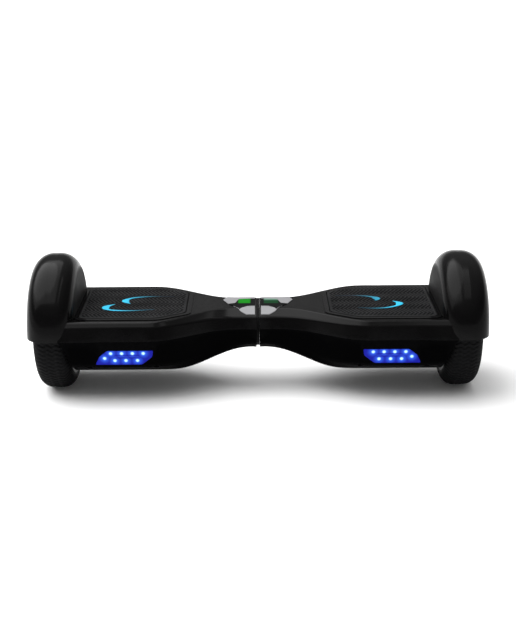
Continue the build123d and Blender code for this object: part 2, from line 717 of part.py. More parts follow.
def sensor_board():
    """Gyro and foot-sensor board on the plate, with a slotted light gate for each flag."""
    with BuildPart() as board:
        with BuildSketch(Plane.XY.offset(SENSOR_Z)):
            with Locations((162, 0)):
                Rectangle(44, 76)
            with Locations((147, -18), (147, 18), (177, -18), (177, 18)):
                Circle(1.3, mode=Mode.SUBTRACT)
        extrude(amount=SENSOR_THICKNESS)
        for x, y in FLAG_SPOTS:
            with BuildSketch(Plane.XY.offset(SENSOR_Z + SENSOR_THICKNESS - 0.1)):
                with Locations((x - 3, y), (x + 3, y)):
                    Rectangle(2.6, 6)
            extrude(amount=2.8)
        with BuildSketch(Plane.XY.offset(SENSOR_Z + SENSOR_THICKNESS - 0.1)):
            with Locations((152, 0), (170, -6), (170, 8)):
                Rectangle(7, 7)
        extrude(amount=1.2)
    return board.part


def tyre():
    half = TYRE_WIDTH / 2
    crown = TYRE_CROWN_RADIUS
    centre_r = TYRE_RADIUS - crown
    seat = half - RIM_FLANGE_WIDTH - RIM_SHY
    diagonal = math.sqrt(0.5)
    w, up = WHEEL_X, AXLE_Z
    with BuildPart() as rubber:
        with BuildSketch(Plane.XZ):
            with BuildLine():
                Polyline(
                    (w - half, up + centre_r),
                    (w - half, up + RIM_FLANGE_RADIUS + 0.5),
                    (w - seat, up + RIM_FLANGE_RADIUS + 0.5),
                    (w - seat, up + RIM_RADIUS),
                    (w + seat, up + RIM_RADIUS),
                    (w + seat, up + RIM_FLANGE_RADIUS + 0.5),
                    (w + half, up + RIM_FLANGE_RADIUS + 0.5),
                    (w + half, up + centre_r),
                )
                ThreePointArc(
                    (w + half, up + centre_r),
                    (w + half - crown + crown * diagonal, up + centre_r + crown * diagonal),
                    (w + half - crown, up + TYRE_RADIUS),
                )
                Line((w + half - crown, up + TYRE_RADIUS), (w - half + crown, up + TYRE_RADIUS))
                ThreePointArc(
                    (w - half + crown, up + TYRE_RADIUS),
                    (w - half + crown - crown * diagonal, up + centre_r + crown * diagonal),
                    (w - half, up + centre_r),
                )
            make_face()
        revolve(axis=AXLE, revolution_arc=360)
    return rubber.part


def ring_sector(inner, outer, span):
    """A flat piece of a ring about the origin, span degrees wide about its local x."""
    with BuildSketch() as sector:
        with BuildLine():
            near = CenterArc((0, 0), inner, -span / 2, span)
            far = CenterArc((0, 0), outer, -span / 2, span)
            Line(near @ 0, far @ 0)
            Line(near @ 1, far @ 1)
        make_face()
    return sector.sketch


def ring_at(x, length, outer, inner):
    """A plain ring round the axle from x along +X."""
    with BuildPart() as ring:
        with BuildSketch(across(x)):
            with Locations((0, AXLE_Z)):
                Circle(outer)
                if inner:
                    Circle(inner, mode=Mode.SUBTRACT)
        extrude(amount=length)
    return ring.part


def hub_rotor():
    """Motor shell and rim in one casting, with a closed outer face, spoke pockets and a bearing boss."""
    flange_x = WHEEL_X - TYRE_WIDTH / 2 + RIM_SHY
    width = TYRE_WIDTH - 2 * RIM_SHY
    face_x = WHEEL_X + ROTOR_FACE
    barrel = ring_at(flange_x, width, RIM_RADIUS - 0.05, ROTOR_INNER)
    step = ring_at(flange_x - 1, COVER_THICKNESS + 1.05, COVER_RADIUS + 0.1, 0)
    flanges = [
        ring_at(x, RIM_FLANGE_WIDTH - 0.1, RIM_FLANGE_RADIUS, RIM_RADIUS - 3)
        for x in (flange_x, flange_x + width - RIM_FLANGE_WIDTH + 0.1)
    ]
    face = ring_at(face_x - 4, 4, RIM_RADIUS - 1, 0)
    boss = ring_at(OUTER_BEARING_X, face_x - 3 - OUTER_BEARING_X, BEARING_OUTER + 4, 0)
    cap = ring_at(face_x - 1, 3.2, 19, 0)
    pocket = ring_sector(25, RIM_RADIUS - 9, 54)
    with BuildPart() as rotor:
        add(barrel)
        for flange in flanges:
            add(flange)
        add(face)
        add(boss)
        add(cap)
        with BuildSketch(across(OUTER_BEARING_X - 1)):
            with Locations((0, AXLE_Z)):
                Circle(BEARING_OUTER + RUNNING)
        extrude(amount=BEARING_WIDTH + 1.1, mode=Mode.SUBTRACT)
        with BuildSketch(across(face_x - 2)):
            with Locations((0, AXLE_Z)):
                with PolarLocations(0, 5):
                    add(pocket)
        extrude(amount=5, mode=Mode.SUBTRACT)
        add(step, mode=Mode.SUBTRACT)
        with BuildSketch(across(COVER_X)):
            with Locations((0, AXLE_Z)):
                with PolarLocations(COVER_SCREW_RADIUS, COVER_SCREWS):
                    Circle(1.5 + RUNNING)
        extrude(amount=COVER_THICKNESS + 8, mode=Mode.SUBTRACT)
    return rotor.part


def hub_cover():
    """Inner motor cover with the inner bearing's boss."""
    disc = ring_at(COVER_X, COVER_THICKNESS, COVER_RADIUS, 0)
    boss = ring_at(INNER_BEARING_X, BEARING_WIDTH, BEARING_OUTER + 4, 0)
    with BuildPart() as cover:
        add(disc)
        add(boss)
        with BuildSketch(across(INNER_BEARING_X - 1)):
            with Locations((0, AXLE_Z)):
                Circle(BEARING_OUTER + RUNNING)
        extrude(amount=BEARING_WIDTH + 2, mode=Mode.SUBTRACT)
        with BuildSketch(across(COVER_X - 1)):
            with Locations((0, AXLE_Z)):
                with PolarLocations(COVER_SCREW_RADIUS, COVER_SCREWS):
                    Circle(1.5 + RUNNING)
        extrude(amount=COVER_THICKNESS + 2, mode=Mode.SUBTRACT)
    return cover.part


def hub_cover_screws():
    with BuildPart() as screws:
        with BuildSketch(across(COVER_X - 1.6)):
            with Locations((0, AXLE_Z)):
                with PolarLocations(COVER_SCREW_RADIUS, COVER_SCREWS):
                    Circle(2.6)
        extrude(amount=1.6)
        with BuildSketch(across(COVER_X - 1.6)):
            with Locations((0, AXLE_Z)):
                with PolarLocations(COVER_SCREW_RADIUS, COVER_SCREWS):
                    RegularPolygon(1.3, 6)
        extrude(amount=1.0, mode=Mode.SUBTRACT)
        with BuildSketch(across(COVER_X - 0.5)):
            with Locations((0, AXLE_Z)):
                with PolarLocations(COVER_SCREW_RADIUS, COVER_SCREWS):
                    Circle(1.5)
        extrude(amount=COVER_THICKNESS + 6)
    return screws.part


def hub_magnets():
    """Thirty flat magnets round the inside of the rotor."""
    magnet = ring_sector(MAGNET_RADIUS, MAGNET_RADIUS + MAGNET_THICKNESS, 10.8)
    with BuildPart() as magnets:
        with BuildSketch(across(WHEEL_X - 12)):
            with Locations((0, AXLE_Z)):
                with PolarLocations(0, MAGNET_COUNT):
                    add(magnet)
        extrude(amount=22)
    return magnets.part


def stator():
    """Laminated core with 27 wound teeth on an alloy spider."""
    spider = ring_at(WHEEL_X - 6, 9, STATOR_RADIUS - 19.8, AXLE_COLLAR_RADIUS + RUNNING)
    shoe = ring_sector(STATOR_RADIUS - 2.8, STATOR_RADIUS, 10.4)
    with BuildPart() as wound:
        with BuildSketch(across(WHEEL_X - 11)):
            with Locations((0, AXLE_Z)):
                Circle(STATOR_RADIUS - 14.8)
                Circle(STATOR_RADIUS - 20.8, mode=Mode.SUBTRACT)
                with PolarLocations(STATOR_RADIUS - 8.8, STATOR_TEETH):
                    Rectangle(13, 3.6)
                with PolarLocations(0, STATOR_TEETH):
                    add(shoe)
        extrude(amount=20)
        add(spider)
        with BuildSketch(across(WHEEL_X - 14)):
            with Locations((0, AXLE_Z)):
                with PolarLocations(STATOR_RADIUS - 8.6, STATOR_TEETH):
                    Rectangle(9.6, 7.4)
        extrude(amount=26)
    return wound.part


def motor_axle():
    """Fixed steel axle, hollow at its inner end for the motor lead."""
    stub = ring_at(AXLE_INNER_X, OUTER_BEARING_X + BEARING_WIDTH - AXLE_INNER_X, AXLE_RADIUS, 0)
    collar = ring_at(WHEEL_X - 8, 11, AXLE_COLLAR_RADIUS, 0)
    with BuildPart() as axle:
        add(stub)
        add(collar)
        with BuildSketch(across(AXLE_INNER_X - 1)):
            with Locations((0, AXLE_Z)):
                Circle(LEAD_RADIUS + FIT)
        extrude(amount=27, mode=Mode.SUBTRACT)
    return axle.part


def wheel_bearings():
    """Two ball bearings: rings and balls as separate solids."""
    rings = []
    for x in (INNER_BEARING_X, OUTER_BEARING_X):
        rings.append(ring_at(x, BEARING_WIDTH, BEARING_OUTER, BEARING_OUTER - BEARING_RING))
        rings.append(ring_at(x, BEARING_WIDTH, BEARING_BORE + BEARING_RING, BEARING_BORE))
    pitch = (BEARING_OUTER + BEARING_BORE) / 2
    ball = (BEARING_OUTER - BEARING_BORE) / 2 - BEARING_RING - RUNNING
    with BuildPart() as pair:
        for ring in rings:
            add(ring)
        for x in (INNER_BEARING_X, OUTER_BEARING_X):
            with Locations(across(x + BEARING_WIDTH / 2)):
                with Locations((0, AXLE_Z)):
                    with PolarLocations(pitch, BALL_COUNT):
                        Sphere(ball)
    return pair.part


def headlight_lens():
    outer = lower_form(-0.3)
    inner = lower_form(LENS_THICKNESS, HOLLOW_STATIONS, ())
    prism = lamp_prism(10, 12)
    with BuildPart() as lens:
        add(prism)
        add(outer, mode=Mode.INTERSECT)
        add(inner, mode=Mode.SUBTRACT)
    return lens.part


def headlight_housing():
    """Open tray behind the lens that carries the lamp board."""
    outer = lamp_prism(-LENS_THICKNESS - 0.9, LAMP_DEPTH + 2)
    limit = lower_form(LENS_THICKNESS + 0.15, HOLLOW_STATIONS, ())
    cavity = lamp_prism(5, LAMP_DEPTH, -1.4)
    with BuildPart() as housing:
        add(outer)
        add(limit, mode=Mode.INTERSECT)
        add(cavity, mode=Mode.SUBTRACT)
    return housing.part


def headlight_board():
    """Lamp board with eight raised light emitters."""
    back = wall_plane(LAMP_X, LAMP_Z, -1)
    board_prism = lamp_prism(-LAMP_DEPTH + 1.4, LAMP_DEPTH - 0.05, -1.6)
    with BuildPart() as board:
        add(board_prism)
        with BuildSketch(back.offset(-LAMP_DEPTH + 1.3)):
            with Locations(*LAMP_LEDS):
                Rectangle(3.6, 3.0)
        extrude(amount=1.4)
    return board.part


def indicator_trim():
    """Pale half badge that follows the neck, with the dark window let into it."""
    return badge_piece(TRIM_OUTLINE, TRIM_PROUD, TRIM_DEPTH - 0.1, BADGE_OUTLINE)


def indicator_lens():
    return badge_piece(BADGE_OUTLINE, TRIM_PROUD + 0.1, TRIM_DEPTH - 0.1, None)


def badge_piece(outline, proud, depth, window):
    outer = upper_form(-proud, STATIONS, UPPER_ROUNDS)
    inner = upper_form(depth, STATIONS, ())
    prism = plan_prism(outline, PART_Z + 1, DECK_Z + 5)
    cut = plan_prism(window, PART_Z, DECK_Z + 6, 0.12) if window else None
    with BuildPart() as piece:
        add(prism)
        add(outer, mode=Mode.INTERSECT)
        add(inner, mode=Mode.SUBTRACT)
        if cut:
            add(cut, mode=Mode.SUBTRACT)
    return piece.part


def indicator_board():
    """Small lamp board under the badge, held under the neck top by two clips."""
    with BuildPart() as board:
        with BuildSketch(Plane.XY.offset(DECK_Z - WALL - 2.2)):
            with Locations((28, 0)):
                Rectangle(32, 26)
        extrude(amount=1.0)
        with BuildSketch(Plane.XY.offset(DECK_Z - WALL - 1.3)):
            with Locations((14.5, 4), (19, 4), (23.5, 4)):
                Rectangle(3, 3)
        extrude(amount=1.8)
        with BuildSketch(Plane.XY.offset(DECK_Z - WALL - 1.3)):
            with Locations((35, -10), (35, 10)):
                Circle(1.6)
        extrude(amount=1.3)
    return board.part


def centre_shaft():
    """Hollow steel shaft, fixed in the left frame, with a clip groove at its right end."""
    with BuildPart() as shaft:
        with BuildSketch(across(SHAFT_LEFT_X)):
            with Locations((0, AXLE_Z)):
                Circle(SHAFT_RADIUS)
                Circle(SHAFT_BORE, mode=Mode.SUBTRACT)
        extrude(amount=SHAFT_RIGHT_X - SHAFT_LEFT_X)
        with BuildSketch(across(CLIP_X)):
            with Locations((0, AXLE_Z)):
                Circle(SHAFT_RADIUS + 1)
                Circle(SHAFT_RADIUS - 1.4, mode=Mode.SUBTRACT)
        extrude(amount=CLIP_WIDTH + 0.2, mode=Mode.SUBTRACT)
        with BuildSketch(Plane.XY.offset(AXLE_Z - SHAFT_RADIUS - 1)):
            with Locations((STOP_PIN_X, 0)):
                Circle(STOP_PIN_RADIUS + RUNNING)
            with Locations(*[(-x, 0) for x in LOCK_SCREW_X]):
                Circle(LOCK_SCREW_RADIUS + RUNNING)
        extrude(amount=3.2, mode=Mode.SUBTRACT)
    return shaft.part


def shaft_bushes():
    with BuildPart() as bushes:
        for x in (BOSS_START_X + 0.2, BOSS_END_X - BUSH_LENGTH - 0.1):
            with BuildSketch(across(x)):
                with Locations((0, AXLE_Z)):
                    Circle(SHAFT_RADIUS + BUSH_WALL)
                    Circle(SHAFT_RADIUS + RUNNING, mode=Mode.SUBTRACT)
            extrude(amount=BUSH_LENGTH)
    return bushes.part


def shaft_hardware():
    """Thrust washer, retaining clip, twist stop pin and the two lock screws."""
    with BuildPart() as hardware:
        with BuildSketch(across(BOSS_END_X + 0.2)):
            with Locations((0, AXLE_Z)):
                Circle(BOSS_RADIUS - 1)
                Circle(SHAFT_RADIUS + RUNNING, mode=Mode.SUBTRACT)
        extrude(amount=WASHER_WIDTH)
        with BuildSketch(across(CLIP_X + 0.1)):
            with Locations((0, AXLE_Z)):
                Circle(SHAFT_RADIUS + 2)
                Circle(SHAFT_RADIUS - 1.3, mode=Mode.SUBTRACT)
                with Locations((0, SHAFT_RADIUS)):
                    Rectangle(6, 10, mode=Mode.SUBTRACT)
        extrude(amount=CLIP_WIDTH)
        with BuildSketch(Plane.XY.offset(AXLE_Z - BOSS_RADIUS + 0.6)):
            with Locations((STOP_PIN_X, 0)):
                Circle(STOP_PIN_RADIUS)
        extrude(amount=BOSS_RADIUS - SHAFT_RADIUS + 1.4)
        with BuildSketch(Plane.XY.offset(AXLE_Z - BOSS_RADIUS - 0.5)):
            with Locations(*[(-x, 0) for x in LOCK_SCREW_X]):
                Circle(LOCK_SCREW_RADIUS)
                RegularPolygon(1.3, 6, mode=Mode.SUBTRACT)
        extrude(amount=2.0)
        with BuildSketch(Plane.XY.offset(AXLE_Z - BOSS_RADIUS + 1.4)):
            with Locations(*[(-x, 0) for x in LOCK_SCREW_X]):
                Circle(LOCK_SCREW_RADIUS)
        extrude(amount=BOSS_RADIUS - SHAFT_RADIUS + 0.6)
    return hardware.part


def dust_collar():
    """Seal on the left boss: a sleeve, and a plate with the neck's outline that fills the gap."""
    sleeve_end = -BOSS_START_X - 5
    upper = inset_half(upper_half_outline(HALF_GAP), SEAL_INSET, 1)
    lower = inset_half(lower_half_outline(HALF_GAP), SEAL_INSET, -1)
    outline = upper[1:] + [(-y, z) for y, z in reversed(upper[1:])]
    outline += [(-y, z) for y, z in lower[1:]] + list(reversed(lower[1:]))
    with BuildPart() as collar:
        with BuildSketch(across(SEAL_FACE_X[0])):
            with BuildLine():
                Polyline(*outline, close=True)
            make_face()
            with Locations((0, AXLE_Z)):
                Circle(SHAFT_RADIUS + FIT, mode=Mode.SUBTRACT)
        extrude(amount=SEAL_FACE_X[1] - SEAL_FACE_X[0])
        split(bisect_by=Plane.XY.offset(NECK_BELLY_Z + SEAL_FOOT), keep=Keep.TOP)
        with BuildSketch(across(sleeve_end)):
            with Locations((0, AXLE_Z)):
                Circle(BOSS_RADIUS + 2.5)
                Circle(BOSS_RADIUS + RUNNING, mode=Mode.SUBTRACT)
        extrude(amount=SEAL_FACE_X[0] - sleeve_end)
    return collar.part


def battery_cells():
    """Twenty round cells in two layers, five across and two end to end."""
    pitch_y = (2 * PACK_HALF_DEPTH - 2 * PACK_SKIN) / 5
    with BuildPart() as cells:
        for row in range(2):
            x = PACK_X[0] + PACK_SKIN + 0.5 + row * (CELL_LENGTH + 1.0)
            with BuildSketch(across(x)):
                with Locations((0, (PACK_Z[0] + PACK_Z[1]) / 2)):
                    with GridLocations(pitch_y, CELL_RADIUS * 2 + 0.1, 5, 2):
                        Circle(CELL_RADIUS)
            extrude(amount=CELL_LENGTH)
    return cells.part


def battery_case():
    """Heat-shrunk skin of the battery pack."""
    with BuildPart() as case:
        with BuildSketch(Plane.XY.offset(PACK_Z[0])):
            with Locations(((PACK_X[0] + PACK_X[1]) / 2, 0)):
                Rectangle(PACK_X[1] - PACK_X[0], 2 * PACK_HALF_DEPTH)
        extrude(amount=PACK_Z[1] - PACK_Z[0])
        offset(amount=-PACK_SKIN, mode=Mode.SUBTRACT)
    return case.part


def main_board():
    """Motor control board on four pillars under the left frame, with heat sink and power stage."""
    centre_x, length, depth = 140.0, 112.0, 72.0
    sink = 12.0
    fins = 7
    pillars = [(centre_x + dx, dy) for dx in (-50, 50) for dy in (-30, 30)]
    drivers = [(centre_x - 30 + 15 * i, y) for i in range(5) for y in (-25, 25)]
    terminal_x = (TERMINAL_X[0] + TERMINAL_X[1]) / 2
    top = BOARD_Z + BOARD_THICKNESS
    with BuildPart() as board:
        with BuildSketch(Plane.XY.offset(BOARD_Z)):
            with Locations((centre_x, 0)):
                Rectangle(length, depth)
            with Locations((TERMINAL_X[0] + 10, 0)):
                Rectangle(20, 24)
        extrude(amount=BOARD_THICKNESS)
        with BuildSketch(Plane.XY.offset(BOARD_Z)):
            with Locations(*pillars):
                RegularPolygon(3, 6)
        extrude(amount=PLATE_Z - BOARD_Z)
        with BuildSketch(Plane.XY.offset(BOARD_Z)):
            with Locations(*drivers):
                Rectangle(11, 9)
            with Locations((centre_x - 18, 0), (centre_x + 2, 0)):
                Rectangle(11, 11)
        extrude(amount=BOARD_THICKNESS + 4)
        with BuildSketch(Plane.XY.offset(top - 1)):
            with Locations((centre_x + 22, -9), (centre_x + 22, 9), (centre_x + 38, 0)):
                Circle(6)
        extrude(amount=17)
        with BuildSketch(Plane.XY.offset(top - 1)):
            with Locations((terminal_x, 0)):
                Rectangle(TERMINAL_X[1] - TERMINAL_X[0], 20)
        extrude(amount=AXLE_Z + 6 - top)
        with BuildSketch(Plane.XY.offset(BOARD_Z - sink)):
            with Locations((centre_x, 0)):
                Rectangle(100, 62)
        extrude(amount=sink)
        with BuildSketch(Plane.XY.offset(BOARD_Z - sink)):
            with Locations(*[(centre_x, -24 + 8 * i) for i in range(fins)]):
                Rectangle(102, 4)
        extrude(amount=sink - 4, mode=Mode.SUBTRACT)
    return board.part


def charge_socket():
    """Round three-pin charging socket in the right half's rear wall, with hinge ears for its cap."""
    face = port_face()
    with BuildPart() as socket:
        with BuildSketch(face):
            Circle(PORT_FLANGE)
            with Locations((0, CAP_HINGE_RISE / 2)):
                Rectangle(13, CAP_HINGE_RISE + 3.6)
        extrude(amount=PORT_FLANGE_THICKNESS)
        with BuildSketch(face):
            with Locations((0, CAP_HINGE_RISE)):
                Rectangle(9, 5.6)
        extrude(amount=PORT_FLANGE_THICKNESS, mode=Mode.SUBTRACT)
        with BuildSketch(face.offset(-SOCKET_DEPTH)):
            Circle(PORT_BARREL)
        extrude(amount=SOCKET_DEPTH)
        with BuildSketch(face.offset(-SOCKET_BORE_DEPTH)):
            Circle(SOCKET_BORE)
        extrude(amount=SOCKET_BORE_DEPTH + PORT_FLANGE_THICKNESS, mode=Mode.SUBTRACT)
        with BuildSketch(face.offset(-SOCKET_DEPTH + 2)):
            Circle(SOCKET_BORE - 0.8)
        extrude(amount=SOCKET_DEPTH - 1 - SOCKET_BORE_DEPTH, mode=Mode.SUBTRACT)
        with BuildSketch(face.offset(-SOCKET_DEPTH + 1)):
            with PolarLocations(3.2, 3):
                Circle(0.9)
        extrude(amount=SOCKET_DEPTH - 1.5 - SOCKET_BORE_DEPTH)
        with BuildSketch(face.offset(PORT_FLANGE_THICKNESS - 0.1)):
            with Locations((-5.5, CAP_HINGE_RISE), (5.5, CAP_HINGE_RISE)):
                Rectangle(2, 3.6)
        extrude(amount=3.6)
        with BuildSketch(cap_hinge_plane().offset(-6.5)):
            Circle(CAP_PIN_RADIUS)
        extrude(amount=13)
    return socket.part


def cap_hinge_plane():
    """The charge cap's hinge axis: its z runs along X through the hinge."""
    face = port_face()
    centre = face.from_local_coords((0, CAP_HINGE_RISE, PORT_FLANGE_THICKNESS + FIT + CAP_THICKNESS / 2))
    return Plane(origin=centre, x_dir=face.z_dir, z_dir=(1, 0, 0))


def charge_cap():
    """Flap that covers the charging socket and swings up on its pin."""
    face = port_face().offset(PORT_FLANGE_THICKNESS + FIT)
    with BuildPart() as cap:
        with BuildSketch(face):
            Circle(PORT_FLANGE - 0.5)
            with Locations((0, CAP_HINGE_RISE / 2)):
                Rectangle(8, CAP_HINGE_RISE)
            with Locations((0, -PORT_FLANGE)):
                SlotOverall(8, 3)
        extrude(amount=CAP_THICKNESS)
        with BuildSketch(cap_hinge_plane().offset(-4)):
            Circle(CAP_PIN_RADIUS + 1.1)
        extrude(amount=8)
        with BuildSketch(cap_hinge_plane().offset(-5)):
            Circle(CAP_PIN_RADIUS + RUNNING)
        extrude(amount=10, mode=Mode.SUBTRACT)
    return cap.part


def button_bezel():
    """Bezel and switch of the power button, on the +X side."""
    face = port_face()
    with BuildPart() as bezel:
        with BuildSketch(face):
            Circle(PORT_FLANGE)
            Circle(BUTTON_RADIUS + FIT, mode=Mode.SUBTRACT)
        extrude(amount=PORT_FLANGE_THICKNESS)
        with BuildSketch(face.offset(-6)):
            Circle(PORT_BARREL)
            Circle(BUTTON_RADIUS + FIT, mode=Mode.SUBTRACT)
        extrude(amount=6)
        with BuildSketch(face.offset(-13)):
            Circle(PORT_BARREL)
        extrude(amount=7)
    return bezel.part


def power_button():
    face = port_face()
    with BuildPart() as button:
        with BuildSketch(face.offset(-6 + BUTTON_TRAVEL + 0.3)):
            Circle(BUTTON_RADIUS)
        extrude(amount=6 - BUTTON_TRAVEL - 0.3 + BUTTON_PROUD)
        fillet(button.faces().sort_by(Axis(face.origin, face.z_dir))[-1].edges(), 0.8)
    return button.part


def straight_lead(start_x, end_x):
    """A sheathed lead that runs straight along the axle line, through the hollow shaft."""
    with BuildPart() as lead:
        with BuildSketch(across(start_x)):
            with Locations((0, AXLE_Z)):
                Circle(LEAD_RADIUS)
        extrude(amount=end_x - start_x)
    return lead.part


def to_left(part):
    """The same piece for the left half."""
    return mirror(part, about=Plane.YZ)


def write(name, part):
    part.label = name
    export_step(part, f"parts/{name}.step")


PAIRED = {
    "upper_shell": upper_shell,
    "lower_shell": lower_shell,
    "axle_clamp": axle_clamp,
    "half_screws": half_screws,
    "foot_mat": foot_mat,
    "pedal_plate": pedal_plate,
    "pedal_boots": pedal_boots,
    "sensor_board": sensor_board,
    "tyre": tyre,
    "hub_rotor": hub_rotor,
    "hub_cover": hub_cover,
    "hub_cover_screws": hub_cover_screws,
    "hub_magnets": hub_magnets,
    "stator": stator,
    "motor_axle": motor_axle,
    "wheel_bearings": wheel_bearings,
    "headlight_lens": headlight_lens,
    "headlight_housing": headlight_housing,
    "headlight_board": headlight_board,
    "indicator_trim": indicator_trim,
    "indicator_lens": indicator_lens,
    "indicator_board": indicator_board,
}

SINGLE = {
    "right_frame": frame_right_form,
    "centre_shaft": centre_shaft,
    "shaft_bushes": shaft_bushes,
    "shaft_hardware": shaft_hardware,
    "dust_collar": dust_collar,
    "battery_cells": battery_cells,
    "battery_case": battery_case,
    "charge_socket": charge_socket,
    "charge_cap": charge_cap,
}

LEFT_ONLY = {
    "left_frame": frame_left_form,
    "main_board": main_board,
    "button_bezel": button_bezel,
    "power_button": power_button,
}


def main():
    os.makedirs("parts", exist_ok=True)
    for name, make in PAIRED.items():
        part = make()
        write(f"left_{name}", to_left(part))
        write(f"right_{name}", part)
    for name, make in SINGLE.items():
        write(name, make())
    for name, make in LEFT_ONLY.items():
        write(name, to_left(make()))
    lead_end = AXLE_INNER_X + 25
    write("left_motor_lead", straight_lead(-lead_end, -TERMINAL_X[1] - FIT))
    write("right_motor_lead", straight_lead(-TERMINAL_X[0] + FIT, lead_end))


main()
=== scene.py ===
import enum
import json
import logging
import math
from dataclasses import dataclass
from typing import Sequence

import bmesh
import bpy
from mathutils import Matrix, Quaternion, Vector


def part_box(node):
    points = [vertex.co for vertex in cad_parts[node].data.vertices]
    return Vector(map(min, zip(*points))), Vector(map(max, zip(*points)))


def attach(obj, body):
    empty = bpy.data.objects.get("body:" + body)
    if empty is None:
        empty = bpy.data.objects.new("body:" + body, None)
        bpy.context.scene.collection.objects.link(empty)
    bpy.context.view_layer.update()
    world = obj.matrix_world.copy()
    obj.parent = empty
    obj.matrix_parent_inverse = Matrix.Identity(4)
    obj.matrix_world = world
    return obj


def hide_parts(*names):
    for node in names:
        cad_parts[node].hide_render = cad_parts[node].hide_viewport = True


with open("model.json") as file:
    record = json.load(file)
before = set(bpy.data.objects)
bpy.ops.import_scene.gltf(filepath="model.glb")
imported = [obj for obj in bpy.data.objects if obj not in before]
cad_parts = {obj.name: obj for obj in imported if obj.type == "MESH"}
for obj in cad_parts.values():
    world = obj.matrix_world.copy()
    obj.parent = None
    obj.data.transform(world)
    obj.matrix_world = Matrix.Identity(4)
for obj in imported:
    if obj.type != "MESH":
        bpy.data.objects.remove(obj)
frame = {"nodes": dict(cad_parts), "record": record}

log = logging.getLogger("board")

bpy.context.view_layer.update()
MM = 0.001
Point = tuple[float, float, float]
Colour = tuple[float, float, float]


class Side(enum.Enum):
    """The two mirrored halves, by the sign of their X."""

    LEFT = -1
    RIGHT = 1

    @property
    def label(self) -> str:
        """The prefix of this half's node and piece names."""
        return self.name.lower()


# --- materials -----------------------------------------------------------------------------


